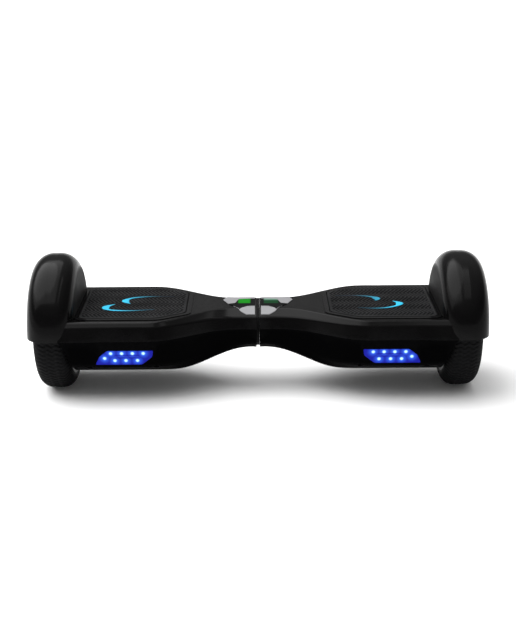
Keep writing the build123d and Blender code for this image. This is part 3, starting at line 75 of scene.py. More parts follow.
class Recipe:
    """Builds one node material step by step."""

    def __init__(self, name: str) -> None:
        """Start an empty material.

        Args:
            name: the material's name.
        """
        self.material = bpy.data.materials.new(name)
        self.material.use_nodes = True
        self.tree = self.material.node_tree
        self.shader = self.tree.nodes["Principled BSDF"]
        coordinates = self.tree.nodes.new("ShaderNodeTexCoord")
        self.place = coordinates.outputs["Object"]
        self.facing = coordinates.outputs["Normal"]

    def fix(self, **values: object) -> "Recipe":
        """Set the shader's own sockets.

        Args:
            values: socket names, with underscores for spaces, and their values.

        Returns:
            This recipe.
        """
        for name, value in values.items():
            if isinstance(value, tuple) and len(value) == 3:
                value = (*value, 1.0)
            self.shader.inputs[name.replace("_", " ")].default_value = value
        return self

    def node(self, kind: str, inputs: dict | None = None, **settings: object) -> bpy.types.Node:
        """Add a node.

        Args:
            kind: the node's class name.
            inputs: socket names or numbers with a value or a socket to link.
            settings: attributes of the node.

        Returns:
            The node.
        """
        made = self.tree.nodes.new(kind)
        for name, value in settings.items():
            setattr(made, name, value)
        for name, value in (inputs or {}).items():
            if isinstance(value, bpy.types.NodeSocket):
                self.tree.links.new(value, made.inputs[name])
            else:
                made.inputs[name].default_value = value
        return made

    def maths(self, operation: str, *terms: object, clamp: bool = False) -> bpy.types.NodeSocket:
        """One arithmetic step on numbers or sockets.

        Args:
            operation: the operation's name.
            terms: its terms in order.
            clamp: whether the result is kept within 0 and 1.

        Returns:
            The result's socket.
        """
        return self.node(
            "ShaderNodeMath", dict(enumerate(terms)), operation=operation, use_clamp=clamp
        ).outputs[0]

    def stretched(self, scale: Point) -> bpy.types.NodeSocket:
        """The object's coordinates times a factor for each axis.

        Args:
            scale: the three factors.

        Returns:
            The vector's socket.
        """
        return self.node("ShaderNodeMapping", {"Vector": self.place, "Scale": scale}).outputs[0]

    def noise(self, scale: float, detail: float = 3.0, stretch: Point = (1, 1, 1)) -> bpy.types.NodeSocket:
        """Cloudy noise between 0 and 1.

        Args:
            scale: cells to a metre.
            detail: how many finer layers it has.
            stretch: factors for each axis.

        Returns:
            The value's socket.
        """
        return self.node(
            "ShaderNodeTexNoise",
            {"Vector": self.stretched(stretch), "Scale": scale, "Detail": detail},
        ).outputs["Fac"]

    def grain(self, scale: float) -> bpy.types.NodeSocket:
        """Cellular grain between 0 and 1.

        Args:
            scale: cells to a metre.

        Returns:
            The distance's socket.
        """
        return self.node("ShaderNodeTexVoronoi", {"Vector": self.place, "Scale": scale}).outputs["Distance"]

    def spread(self, value: bpy.types.NodeSocket, low: float, high: float, start: float = 0.3,
               end: float = 0.7) -> bpy.types.NodeSocket:
        """Map a value's middle range onto two levels.

        Args:
            value: the value to map.
            low: the level at start and below.
            high: the level at end and above.
            start: the value that gives low.
            end: the value that gives high.

        Returns:
            The level's socket.
        """
        return self.node(
            "ShaderNodeMapRange",
            {"Value": value, "From Min": start, "From Max": end, "To Min": low, "To Max": high},
        ).outputs[0]

    def blend(self, share: object, first: object, second: object) -> bpy.types.NodeSocket:
        """Mix two colours.

        Args:
            share: how much of the second, as a number or a socket.
            first: the first colour or its socket.
            second: the second colour or its socket.

        Returns:
            The colour's socket.
        """
        made = self.tree.nodes.new("ShaderNodeMix")
        made.data_type = "RGBA"
        for spot, value in ((0, share), (6, first), (7, second)):
            if isinstance(value, bpy.types.NodeSocket):
                self.tree.links.new(value, made.inputs[spot])
            elif isinstance(value, tuple):
                made.inputs[spot].default_value = (*value, 1.0)
            else:
                made.inputs[spot].default_value = value
        return made.outputs[2]

    def edge_wear(self, start: float = 0.52, end: float = 0.6) -> bpy.types.NodeSocket:
        """How sharp and outward the surface is, 0 on faces and 1 on edges.

        Args:
            start: the pointiness where wear begins.
            end: the pointiness of full wear.

        Returns:
            The share's socket.
        """
        point = self.node("ShaderNodeNewGeometry").outputs["Pointiness"]
        worn = self.spread(point, 0.0, 1.0, start, end)
        return self.maths("MULTIPLY", worn, self.noise(180.0), clamp=True)

    def feed(self, name: str, source: bpy.types.NodeSocket) -> "Recipe":
        """Link a varying value to one of the shader's sockets.

        Args:
            name: the socket's name.
            source: what drives it.

        Returns:
            This recipe.
        """
        self.tree.links.new(source, self.shader.inputs[name])
        return self

    def relief(self, height: bpy.types.NodeSocket, depth_mm: float, strength: float = 1.0) -> "Recipe":
        """Bend the surface normals by a height, over what is already there.

        Args:
            height: the height from 0 to 1.
            depth_mm: how many millimetres a height of 1 stands for.
            strength: how much of it shows.

        Returns:
            This recipe.
        """
        before = self.shader.inputs["Normal"].links
        inputs = {"Height": height, "Distance": depth_mm * MM, "Strength": strength}
        if before:
            inputs["Normal"] = before[0].from_socket
        bump = self.node("ShaderNodeBump", inputs)
        self.tree.links.new(bump.outputs[0], self.shader.inputs["Normal"])
        return self


@dataclass(frozen=True)
class GlossMoulding:
    """Polished injection-moulded plastic with faint smears and a little orange peel."""

    name: str
    colour: Colour
    smear_colour: Colour
    roughness: tuple[float, float] = (0.2, 0.34)
    specular: float = 0.4
    coat: float = 0.25
    wear: float = 0.35
    side_roughness: float = 0.0

    def build(self) -> bpy.types.Material:
        """Make the material."""
        recipe = Recipe(self.name)
        smears = recipe.noise(22.0, 5.0, (1.0, 0.5, 1.6))
        dust = recipe.noise(900.0, 2.0)
        tone = recipe.blend(recipe.spread(smears, 0.0, 0.55), self.colour, self.smear_colour)
        worn = recipe.maths("MULTIPLY", recipe.edge_wear(), self.wear)
        recipe.feed("Base Color", recipe.blend(worn, tone, (0.09, 0.09, 0.095)))
        low, high = self.roughness
        rough = recipe.spread(smears, low, high, 0.35, 0.7)
        rough = recipe.maths("ADD", rough, recipe.spread(dust, 0.0, 0.08, 0.5, 0.8))
        if self.side_roughness:
            normal = recipe.node("ShaderNodeSeparateXYZ", {0: recipe.facing})
            facing = recipe.maths("ABSOLUTE", normal.outputs[0])
            rough = recipe.maths("ADD", rough, recipe.spread(facing, 0.0, self.side_roughness, 0.93, 0.995))
        recipe.feed("Roughness", rough)
        recipe.fix(Specular_IOR_Level=self.specular, Coat_Weight=self.coat, Coat_Roughness=0.12)
        recipe.relief(recipe.noise(420.0, 2.0), 0.02, 0.25)
        recipe.relief(recipe.noise(34.0, 1.0), 0.12, 0.12)
        return recipe.material


@dataclass(frozen=True)
class MouldedRubber:
    """Matt rubber with fine grain, a dusty bloom and greyer edges."""

    name: str
    colour: Colour
    bloom: Colour
    roughness: tuple[float, float] = (0.55, 0.75)
    specular: float = 0.3
    grain_mm: float = 0.05

    def build(self) -> bpy.types.Material:
        """Make the material."""
        recipe = Recipe(self.name)
        cloud = recipe.noise(55.0, 4.0)
        speck = recipe.noise(2400.0, 2.0)
        tone = recipe.blend(recipe.spread(cloud, 0.0, 0.7), self.colour, self.bloom)
        tone = recipe.blend(recipe.spread(speck, 0.0, 0.35, 0.55, 0.75), tone, self.bloom)
        worn = recipe.edge_wear(0.5, 0.62)
        recipe.feed("Base Color", recipe.blend(worn, tone, self.bloom))
        low, high = self.roughness
        recipe.feed("Roughness", recipe.spread(cloud, low, high))
        recipe.fix(Specular_IOR_Level=self.specular)
        recipe.relief(speck, self.grain_mm, 0.7)
        return recipe.material


@dataclass(frozen=True)
class TreadRubber:
    """Mat rubber, scuffed grey on top of its ribs, with painted shade making its grooves black."""

    name: str
    # colour of the grooves, a painted shade
    groove: Colour
    rib: Colour
    low_mm: float
    high_mm: float

    def build(self) -> bpy.types.Material:
        """Make the material."""
        recipe = Recipe(self.name)
        rise = recipe.maths("DIVIDE", recipe.node("ShaderNodeSeparateXYZ", {0: recipe.place}).outputs[2], MM)
        # by height: painted shade keeps the grooves black, and the rib tops turn grey by a noisy scuff
        rib_top_out_of_painted_shade = recipe.spread(rise, 0.0, 1.0, self.low_mm, self.high_mm)
        scuff = recipe.spread(recipe.noise(38.0, 4.0), 0.45, 1.0)
        tone = recipe.blend(recipe.maths("MULTIPLY", rib_top_out_of_painted_shade, scuff), self.groove, self.rib)
        speck = recipe.noise(2400.0, 2.0)
        recipe.feed("Base Color", tone)
        recipe.feed("Roughness", recipe.spread(speck, 0.45, 0.7))
        recipe.fix(Specular_IOR_Level=0.03)
        recipe.relief(speck, 0.05, 0.6)
        return recipe.material


@dataclass(frozen=True)
class PaintedCasting:
    """Satin paint over a cast surface."""

    name: str
    colour: Colour
    metallic: float = 0.0
    roughness: tuple[float, float] = (0.3, 0.5)
    grain_mm: float = 0.08
    wear: float = 0.06

    def build(self) -> bpy.types.Material:
        """Make the material."""
        recipe = Recipe(self.name)
        cloud = recipe.noise(60.0, 4.0)
        grain = recipe.grain(1600.0)
        lighter = tuple(min(1.0, c * 1.6 + 0.01) for c in self.colour)
        tone = recipe.blend(recipe.spread(cloud, 0.0, 0.5), self.colour, lighter)
        worn = recipe.spread(recipe.edge_wear(), 0.0, self.wear)
        recipe.feed("Base Color", recipe.blend(worn, tone, (0.45, 0.45, 0.46)))
        low, high = self.roughness
        recipe.feed("Roughness", recipe.spread(cloud, low, high))
        recipe.fix(Metallic=self.metallic, Specular_IOR_Level=0.45)
        recipe.relief(grain, self.grain_mm, 0.5)
        return recipe.material


@dataclass(frozen=True)
class MachinedMetal:
    """Bare metal with turning or brushing marks."""

    name: str
    colour: Colour
    roughness: tuple[float, float] = (0.22, 0.4)
    marks: Point = (30.0, 1.0, 1.0)

    def build(self) -> bpy.types.Material:
        """Make the material."""
        recipe = Recipe(self.name)
        lines = recipe.noise(260.0, 4.0, self.marks)
        stain = recipe.noise(70.0, 4.0)
        darker = tuple(c * 0.7 for c in self.colour)
        recipe.feed("Base Color", recipe.blend(recipe.spread(stain, 0.0, 0.5), self.colour, darker))
        low, high = self.roughness
        recipe.feed("Roughness", recipe.spread(lines, low, high))
        recipe.fix(Metallic=1.0)
        recipe.relief(lines, 0.03, 0.5)
        return recipe.material


@dataclass(frozen=True)
class BoardLacquer:
    """Circuit board lacquer with pale tracks."""

    name: str
    colour: Colour
    track: Colour

    def build(self) -> bpy.types.Material:
        """Make the material."""
        recipe = Recipe(self.name)
        cells = recipe.node(
            "ShaderNodeTexBrick",
            {"Vector": recipe.place, "Scale": 90.0, "Color1": (0, 0, 0, 1), "Color2": (0.2, 0.2, 0.2, 1),
             "Mortar": (1, 1, 1, 1), "Mortar Size": 0.015},
        ).outputs["Color"]
        share = recipe.maths("MULTIPLY", cells, 0.5)
        recipe.feed("Base Color", recipe.blend(share, self.colour, self.track))
        recipe.feed("Roughness", recipe.spread(recipe.noise(300.0), 0.25, 0.45))
        recipe.relief(cells, 0.05, 0.5)
        return recipe.material


@dataclass(frozen=True)
class LampLens:
    """Lit headlight window: hot emitters in a saturated glow round a darker middle bar."""

    name: str
    side: Side
    centre: Point
    emitters: tuple[tuple[float, float], ...]
    core_mm: float = 3.9
    halo_mm: float = 10.0
    bar: tuple[float, float, float, float] = (-17.5, 15.0, 0.6, 0.9)
    deep: Colour = (0.004, 0.008, 0.4)
    glow: Colour = (0.03, 0.13, 0.98)
    hot: Colour = (0.55, 0.98, 1.0)

    def across(self, recipe: Recipe) -> tuple[bpy.types.NodeSocket, bpy.types.NodeSocket]:
        """Millimetres from the lamp's centre, outwards along X and up its face.

        Args:
            recipe: the material in the making.

        Returns:
            The two sockets.
        """
        parts = recipe.node("ShaderNodeSeparateXYZ", {0: recipe.place})
        out = recipe.maths("MULTIPLY_ADD", parts.outputs[0], self.side.value / MM, -self.centre[0] / MM)
        rise = recipe.maths("MULTIPLY_ADD", parts.outputs[2], 1 / MM, -self.centre[2] / MM)
        return out, recipe.maths("MULTIPLY", rise, 1.03)

    def near(self, recipe: Recipe, u: bpy.types.NodeSocket, v: bpy.types.NodeSocket,
             spot: tuple[float, float], reach: float) -> bpy.types.NodeSocket:
        """A round falloff about one spot, 1 at its middle.

        Args:
            recipe: the material in the making.
            u: millimetres outwards.
            v: millimetres up.
            spot: the spot's place.
            reach: the radius where it ends, in millimetres.

        Returns:
            The falloff's socket.
        """
        du = recipe.maths("POWER", recipe.maths("ABSOLUTE", recipe.maths("SUBTRACT", u, spot[0])), 2.0)
        dv = recipe.maths("POWER", recipe.maths("ABSOLUTE", recipe.maths("SUBTRACT", v, spot[1])), 2.0)
        far = recipe.maths("SQRT", recipe.maths("ADD", du, dv))
        return recipe.node(
            "ShaderNodeMapRange",
            {"Value": far, "From Min": 0.0, "From Max": reach, "To Min": 1.0, "To Max": 0.0},
            interpolation_type="SMOOTHERSTEP",
        ).outputs[0]

    def build(self) -> bpy.types.Material:
        """Make the material."""
        recipe = Recipe(self.name)
        u, v = self.across(recipe)
        hot, halo = None, None
        for spot in self.emitters:
            core = self.near(recipe, u, v, spot, self.core_mm)
            soft = self.near(recipe, u, v, spot, self.halo_mm)
            hot = core if hot is None else recipe.maths("MAXIMUM", hot, core)
            halo = soft if halo is None else recipe.maths("MAXIMUM", halo, soft)
        start, end, middle, half = self.bar
        from_centre = recipe.maths("ABSOLUTE", recipe.maths("SUBTRACT", u, (start + end) / 2))
        beyond = recipe.maths("SUBTRACT", from_centre, (end - start) / 2)
        along = recipe.spread(beyond, 1.0, 0.0, -2.0, 2.0)
        off = recipe.maths("ABSOLUTE", recipe.maths("SUBTRACT", v, middle))
        from_edge = recipe.maths("ABSOLUTE", recipe.maths("SUBTRACT", off, half + 1.1))
        ring = recipe.spread(from_edge, 1.0, 0.0, 0.3, 1.2)
        bar = recipe.maths("MULTIPLY", along, ring)
        unshaded = recipe.maths("SUBTRACT", 1.0, recipe.maths("MULTIPLY", bar, 0.8))
        lit = recipe.maths("MULTIPLY", halo, unshaded)
        tone = recipe.blend(lit, self.deep, self.glow)
        recipe.feed("Emission Color", recipe.blend(recipe.maths("POWER", hot, 1.3), tone, self.hot))
        recipe.feed("Emission Strength", recipe.maths("MULTIPLY_ADD", hot, 0.9, 0.9))
        recipe.fix(Base_Color=(0.0, 0.0, 0.02), Roughness=0.12, Specular_IOR_Level=0.1)
        recipe.relief(recipe.noise(700.0, 1.0), 0.05, 0.2)
        return recipe.material


@dataclass(frozen=True)
class LitBadge:
    """Smoked badge window with one lit patch."""

    name: str
    side: Side
    patch: tuple[float, float, float, float]
    lit: Colour
    top: Colour
    strength: float

    def build(self) -> bpy.types.Material:
        """Make the material."""
        recipe = Recipe(self.name)
        parts = recipe.node("ShaderNodeSeparateXYZ", {0: recipe.place})
        x = recipe.maths("MULTIPLY", parts.outputs[0], self.side.value / MM)
        y = recipe.maths("MULTIPLY", parts.outputs[1], 1 / MM)
        x0, x1, y0, y1 = self.patch
        share = None
        for value, low, high in ((x, x0, x1), (y, y0, y1)):
            off = recipe.maths("ABSOLUTE", recipe.maths("SUBTRACT", value, (low + high) / 2))
            inside = recipe.spread(off, 1.0, 0.0, (high - low) / 2 - 1.0, (high - low) / 2 + 0.8)
            share = inside if share is None else recipe.maths("MULTIPLY", share, inside)
        rear = recipe.spread(y, 0.0, 1.0, y1 - 9.0, y1 + 1.0)
        recipe.feed("Emission Color", recipe.blend(rear, self.lit, self.top))
        recipe.feed("Emission Strength", recipe.maths("MULTIPLY", share, self.strength))
        recipe.feed("Roughness", recipe.spread(recipe.noise(80.0, 4.0), 0.1, 0.2))
        recipe.fix(Base_Color=(0.001, 0.0015, 0.0015), Specular_IOR_Level=0.03)
        recipe.relief(recipe.noise(500.0, 1.0), 0.03, 0.2)
        return recipe.material


@dataclass(frozen=True)
class PrintWithPaintedGlow:
    """Bright printed colour that fades to a dark tint along each streak's tail, with a painted glow: the
    print emits light though it is no lamp.
    """

    name: str
    head: Colour
    tail: Colour
    fade_mm: tuple[float, float] = (125.0, 178.0)
    # strength of the painted glow that the printed streaks give off
    strength: float = 0.55

    def build(self) -> bpy.types.Material:
        """Make the material."""
        recipe = Recipe(self.name)
        speck = recipe.noise(1500.0, 3.0)
        across = recipe.maths("ABSOLUTE", recipe.node("ShaderNodeSeparateXYZ", {0: recipe.place}).outputs[0])
        share = recipe.spread(recipe.maths("DIVIDE", across, MM), 0.0, 1.0, *self.fade_mm)
        share = recipe.maths("MULTIPLY", recipe.maths("POWER", share, 1.4), recipe.spread(speck, 1.0, 0.82))
        tone = recipe.blend(share, self.tail, self.head)
        recipe.feed("Base Color", tone)
        # painted glow: the streak colour is also fed to emission, so the print gives off light
        recipe.feed("Emission Color", tone)
        recipe.fix(Emission_Strength=self.strength, Specular_IOR_Level=0.1)
        recipe.feed("Roughness", recipe.spread(speck, 0.35, 0.6))
        recipe.relief(speck, 0.05, 0.5)
        return recipe.material


@dataclass(frozen=True)
class StudioFloor:
    """Plain pale floor."""

    name: str = "floor_paint"
    colour: Colour = (0.9, 0.9, 0.9)

    def build(self) -> bpy.types.Material:
        """Make the material."""
        recipe = Recipe(self.name)
        cloud = recipe.noise(3.0, 3.0)
        lighter = tuple(min(1.0, c * 1.03) for c in self.colour)
        recipe.feed("Base Color", recipe.blend(cloud, self.colour, lighter))
        recipe.fix(Roughness=0.9, Specular_IOR_Level=0.1)
        return recipe.material


# --- mesh helpers ----------------------------------------------------------------------------


class Surface:
    """Collects points and faces, and turns them into a piece of the board."""

    def __init__(self) -> None:
        """Start empty."""
        self.points: list[Point] = []
        self.faces: list[tuple[int, ...]] = []

    def grid(
        self, rows: Sequence[Sequence[Point]], closed_rows: bool = False, closed_columns: bool = False
    ) -> None:
        """Add a sheet of quads over a grid of points.

        Args:
            rows: the points, row by row, all rows as long as the first.
            closed_rows: whether the last row joins the first.
            closed_columns: whether each row's last point joins its first.
        """
        start = len(self.points)
        tall, wide = len(rows), len(rows[0])
        for row in rows:
            self.points.extend(row)
        for i in range(tall if closed_rows else tall - 1):
            for j in range(wide if closed_columns else wide - 1):
                k, m = (i + 1) % tall, (j + 1) % wide
                corners = ((i, j), (i, m), (k, m), (k, j))
                self.faces.append(tuple(start + row * wide + column for row, column in corners))

    def piece(self, name: str, body: str, material: bpy.types.Material, slot: str) -> bpy.types.Object:
        """Make the mesh, with its faces turned outwards, and let it ride.

        Args:
            name: the piece's name.
            body: the body that it rides on.
            material: its finish.
            slot: the record's slot for it; not used.

        Returns:
            The new object.
        """
        mesh = bpy.data.meshes.new(name)
        mesh.from_pydata(self.points, [], self.faces)
        work = bmesh.new()
        work.from_mesh(mesh)
        bmesh.ops.remove_doubles(work, verts=work.verts, dist=1e-6)
        bmesh.ops.recalc_face_normals(work, faces=work.faces)
        work.to_mesh(mesh)
        work.free()
        mesh.polygons.foreach_set("use_smooth", [True] * len(mesh.polygons))
        mesh.materials.append(material)
        made = bpy.data.objects.new(name, mesh)
        bpy.context.scene.collection.objects.link(made)
        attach(made, body)
        log.info("%s: %d faces on %s", name, len(mesh.polygons), body)
        return made


def smooth_step(value: float, start: float, end: float) -> float:
    """Smooth 0 to 1 as value goes from start to end.

    Args:
        value: the value.
        start: where it leaves 0.
        end: where it reaches 1.

    Returns:
        The share.
    """
    share = min(1.0, max(0.0, (value - start) / (end - start)))
    return share * share * (3 - 2 * share)


# --- sub-assemblies ----------------------------------------------------------------------------


@dataclass
class TreadedTyre:
    """Solid tyre with close, wavy ribs across its tread."""

    side: Side
    finish: bpy.types.Material
    radius: float = 85.0
    width: float = 46.0
    shoulder: float = 16.5
    bead: float = 66.7
    ribs: int = 84
    groove_depth: float = 1.1
    wave: float = 1.5
    wave_length: float = 11.0
    centre_groove: float = 5.4
    steps_per_rib: int = 14
    shoulder_steps: int = 15
    flat_steps: int = 8

    def profile(self) -> list[tuple[float, float, float]]:
        """The section from bead to bead.

        Returns:
            Offset along X, radius and how deep the tread is there, point by point.
        """
        half = self.width / 2
        low = self.radius - self.shoulder
        points = [
            (-half + 1.6, self.bead - 3.0, 0.0),
            (-half + 0.5, self.bead, 0.0),
            (-half, self.bead + 0.9, 0.0),
        ]
        for i in range(self.shoulder_steps + 1):
            angle = math.radians(90 * i / self.shoulder_steps)
            deep = smooth_step(angle, 0.12, 0.34)
            along = -half + self.shoulder * (1 - math.cos(angle))
            points.append((along, low + self.shoulder * math.sin(angle), deep))
        flat = half - self.shoulder
        steps = self.flat_steps
        middle = [(-flat + 2 * flat * i / steps, self.radius, 1.0) for i in range(1, steps)]
        return points + middle + [(-x, r, deep) for x, r, deep in reversed(points)]

    def depth(self, along: float, turn: float) -> float:
        """How far the tread is cut at a place.

        Args:
            along: the offset along X in millimetres.
            turn: the angle round the wheel, in ribs.

        Returns:
            A share of the groove's depth.
        """
        rib_pitch = 2 * math.pi * self.radius / self.ribs
        bend = self.wave * math.sin(along * 2 * math.pi / self.wave_length) / rib_pitch
        phase = (turn + bend) % 1.0
        lateral = smooth_step(abs(phase - 0.5), 0.16, 0.27)
        centre = smooth_step(abs(abs(along) - self.centre_groove), 0.35, 0.9)
        return max(1.0 - lateral, (1.0 - centre) * 0.8)

    def build(self) -> bpy.types.Object:
        """Make the tyre and put it in place of the plain one.

        Returns:
            The tyre.
        """
        surface = Surface()
        profile = self.profile()
        count = self.ribs * self.steps_per_rib
        centre_z = self.radius
        low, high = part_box(f"{self.side.label}_tyre")
        wheel_x = (low[0] + high[0]) / 2 / MM
        rows = []
        for i in range(count):
            turn = 2 * math.pi * i / count
            row = []
            for along, radius, deep in profile:
                cut = self.depth(along, i / self.steps_per_rib) * deep * self.groove_depth
                r = radius - cut
                x = wheel_x + self.side.value * along
                row.append((x * MM, -r * math.sin(turn) * MM, (centre_z + r * math.cos(turn)) * MM))
            rows.append(row)
        surface.grid(rows, closed_rows=True, closed_columns=True)
        label = self.side.label
        made = surface.piece(f"{label}_treaded_tyre", f"{label}_wheel", self.finish, "tyre_rubber")
        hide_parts(f"{label}_tyre")
        return made


STREAKS = {
    Side.LEFT: {
        "front": [(188, -7), (197, -16), (198, -25), (191, -32), (176, -35), (158, -35), (134, -31)],
        "rear": [(168, -5), (174, 3), (175, 11), (168, 20), (154, 25), (136, 27), (112, 26)],
    },
    Side.RIGHT: {
        "front": [(178, -1), (185, -8), (185, -15), (179, -23), (166, -30), (150, -32), (130, -29)],
        "rear": [(155, 2), (158, 8), (156, 15), (148, 21), (134, 25), (118, 26), (104, 25)],
    },
}


@dataclass
class FootMat:
    """Rubber mat with a crowned edge, a fine zigzag tread and printed streaks."""

    side: Side
    rubber: bpy.types.Material
    # the streaks' printed colour, which also carries a painted glow
    ink: bpy.types.Material
    start_x: float = 93.0
    bend_x: float = 128.0
    end_x: float = 229.0
    half_depth: float = 66.0
    nose_half_depth: float = 44.0
    base: float = 109.6
    top: float = 112.3
    tread: float = 0.9
    pitch: float = 5.2
    band: float = 17.0
    slant: float = 0.55
    step: float = 0.62
    border: float = 4.0
    edge_round: float = 1.1
    streak_half: float = 4.8
    streak_steps: int = 60
    streak_crown: float = 0.16
    wheel_corner: float = 8.0
    neck_corner: float = 6.5

    def half_at(self, x: float) -> float:
        """The mat's half depth at a station, with its corners rounded.

        Args:
            x: millimetres from the board's middle.

        Returns:
            The half depth in millimetres.
        """
        slope = (self.half_depth - self.nose_half_depth) / (self.bend_x - self.start_x)
        line = self.nose_half_depth + (x - self.start_x) * slope
        gap = self.half_depth - line
        soft = 3.2
        half = self.half_depth - 0.5 * (gap + math.sqrt(gap * gap + soft * soft)) + soft * 0.08
        half = min(half, self.half_depth)
        for edge, radius in ((self.end_x, self.wheel_corner), (self.start_x, self.neck_corner)):
            inside = abs(x - edge)
            if inside < radius:
                half -= radius - math.sqrt(max(0.0, radius * radius - (radius - inside) ** 2))
        return half

    def height(self, x: float, y: float, inside: float) -> float:
        """The tread's height at a place.

        Args:
            x: millimetres from the board's middle.
            y: millimetres from the board's long axis.
            inside: millimetres to the nearest edge of the mat.

        Returns:
            The height in millimetres.
        """
        band = abs((y / self.band) % 2.0 - 1.0) * self.band
        phase = ((x + self.slant * band) / self.pitch) % 1.0
        rib = smooth_step(abs(phase - 0.5), 0.14, 0.26)
        ridge = self.tread * (rib - 1.0) * smooth_step(inside, self.border - 0.6, self.border)
        drop = max(0.0, self.edge_round - inside)
        crown = self.edge_round - math.sqrt(max(0.0, self.edge_round ** 2 - drop ** 2))
        return self.top + ridge - crown

    def build(self) -> bpy.types.Object:
        """Make the mat and its streaks.

        Returns:
            The mat.
        """
        surface = Surface()
        columns = int((self.end_x - self.start_x) / self.step)
        lines = int(2 * self.half_depth / self.step)
        rows = []
        base = self.base * MM
        for i in range(columns + 1):
            share = i / columns
            x = self.start_x + (self.end_x - self.start_x) * share
            half = self.half_at(x)
            ends = min(x - self.start_x, self.end_x - x)
            row = []
            for j in range(lines + 1):
                y = half * (2 * j / lines - 1)
                inside = min(ends, (half - abs(y)) * 0.93)
                row.append((self.side.value * x * MM, y * MM, self.height(x, y, inside) * MM))
            rows.append([(row[0][0], row[0][1], base)] + row + [(row[-1][0], row[-1][1], base)])
        rows.insert(0, [(p[0], p[1], base) for p in rows[0]])
        rows.append([(p[0], p[1], base) for p in rows[-1]])
        surface.grid(rows)
        surface.grid([[row[0], row[-1]] for row in rows])
        label = self.side.label
        mat = surface.piece(f"{label}_treaded_mat", f"{label}_pedal", self.rubber, "mat_rubber")
        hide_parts(f"{label}_foot_mat")
        self.streaks()
        return mat

    def streaks(self) -> list[bpy.types.Object]:
        """The two printed streaks, each a thick head and a long thin tail.

        Returns:
            The streaks.
        """
        made = []
        for label, spots in STREAKS[self.side].items():
            path = self.smooth(spots, self.streak_steps)
            surface = Surface()
            rows = []
            for i, (x, y) in enumerate(path):
                share = i / (len(path) - 1)
                before, after = path[max(0, i - 1)], path[min(len(path) - 1, i + 1)]
                dx, dy = after[0] - before[0], after[1] - before[1]
                length = math.hypot(dx, dy)
                half = self.streak_half * self.girth(share)
                row = []
                for k in range(9):
                    side = k / 4 - 1
                    lift = self.streak_crown * (1 - side * side) + 0.02
                    row.append((
                        self.side.value * (x - dy / length * half * side) * MM,
                        (y + dx / length * half * side) * MM,
                        (self.top + lift) * MM,
                    ))
                low = (self.top - 0.1) * MM
                rows.append([(row[0][0], row[0][1], low)] + row + [(row[-1][0], row[-1][1], low)])
            surface.grid(rows)
            surface.grid([[row[0], row[-1]] for row in rows])
            surface.grid([rows[0][:6], rows[0][:4:-1]])
            surface.grid([rows[-1][:6], rows[-1][:4:-1]])
            half_name = self.side.label
            name = f"{half_name}_{label}_streak"
            made.append(surface.piece(name, f"{half_name}_pedal", self.ink, "mat_rubber"))
        return made

    def girth(self, share: float) -> float:
        """How thick a streak is along its length: a pointed start, a heavy bend and a thin tail.

        Args:
            share: the place along it, from 0 to 1.

        Returns:
            The share of its greatest thickness.
        """
        head = smooth_step(share, 0.0, 0.24)
        bend = 1.0 - 0.62 * smooth_step(share, 0.26, 0.5)
        tail = 1.0 - 0.8 * smooth_step(share, 0.5, 1.0)
        return (0.1 + 0.9 * head) * bend * tail

    def smooth(self, spots: Sequence[tuple[float, float]], count: int) -> list[tuple[float, float]]:
        """A smooth path through spots.

        Args:
            spots: the spots in order.
            count: how many points the path has.

        Returns:
            The path's points.
        """
        padded = [spots[0], *spots, spots[-1]]
        path = []
        for i in range(count):
            place = i / (count - 1) * (len(spots) - 1)
            k = min(int(place), len(spots) - 2)
            t = place - k
            a, b, c, d = padded[k:k + 4]
            path.append(tuple(
                0.5 * (2 * b[n] + (c[n] - a[n]) * t + (2 * a[n] - 5 * b[n] + 4 * c[n] - d[n]) * t * t
                       + (3 * b[n] - a[n] - 3 * c[n] + d[n]) * t ** 3)
                for n in (0, 1)
            ))
        return path


@dataclass
class Casework:
    """Dresses the pieces that keep their own solid shapes."""

    finishes: dict[str, bpy.types.Material]
    lamp_emitters: tuple[tuple[float, float], ...] = (
        (19.5, 5.3), (5.6, 5.3), (-8.0, 5.3), (-21.7, 5.3),
        (27.5, -2.0), (14.6, -5.3), (0.7, -5.3), (-14.0, -5.3),
    )
    lamp_centre: Point = (0.167, 0.0, 0.0665)

    def dress(self) -> None:
        """Give every solid node the finish of its slot."""
        slots = {row["node"]: row["material_slot"] for row in frame["record"]["subparts"]}
        for name, piece in frame["nodes"].items():
            material = self.finishes[slots[name]]
            piece.data.materials.clear()
            piece.data.materials.append(material)
        log.info("dressed %d solid nodes", len(slots))

    def light(self) -> None:
        """Light both headlights and both halves of the badge."""
        badge = {
            Side.LEFT: LitBadge(
                "left_badge_light", Side.LEFT, (10, 26, -4, 16),
                lit=(0.002, 0.3, 0.003), top=(0.006, 0.3, 0.012), strength=1.0,
            ),
            Side.RIGHT: LitBadge(
                "right_badge_light", Side.RIGHT, (8, 27, -5, 16),
                lit=(0.0, 0.055, 0.012), top=(0.3, 0.55, 0.42), strength=1.0,
            ),
        }
        for side in Side:
            lamp = LampLens(f"{side.label}_lamp_light", side, self.lamp_centre, self.lamp_emitters)
            lit = {f"{side.label}_headlight_lens": lamp, f"{side.label}_indicator_lens": badge[side]}
            for node, finish in lit.items():
                piece = frame["nodes"][node]
                piece.data.materials.clear()
                piece.data.materials.append(finish.build())
                log.info("%s is lit", node)


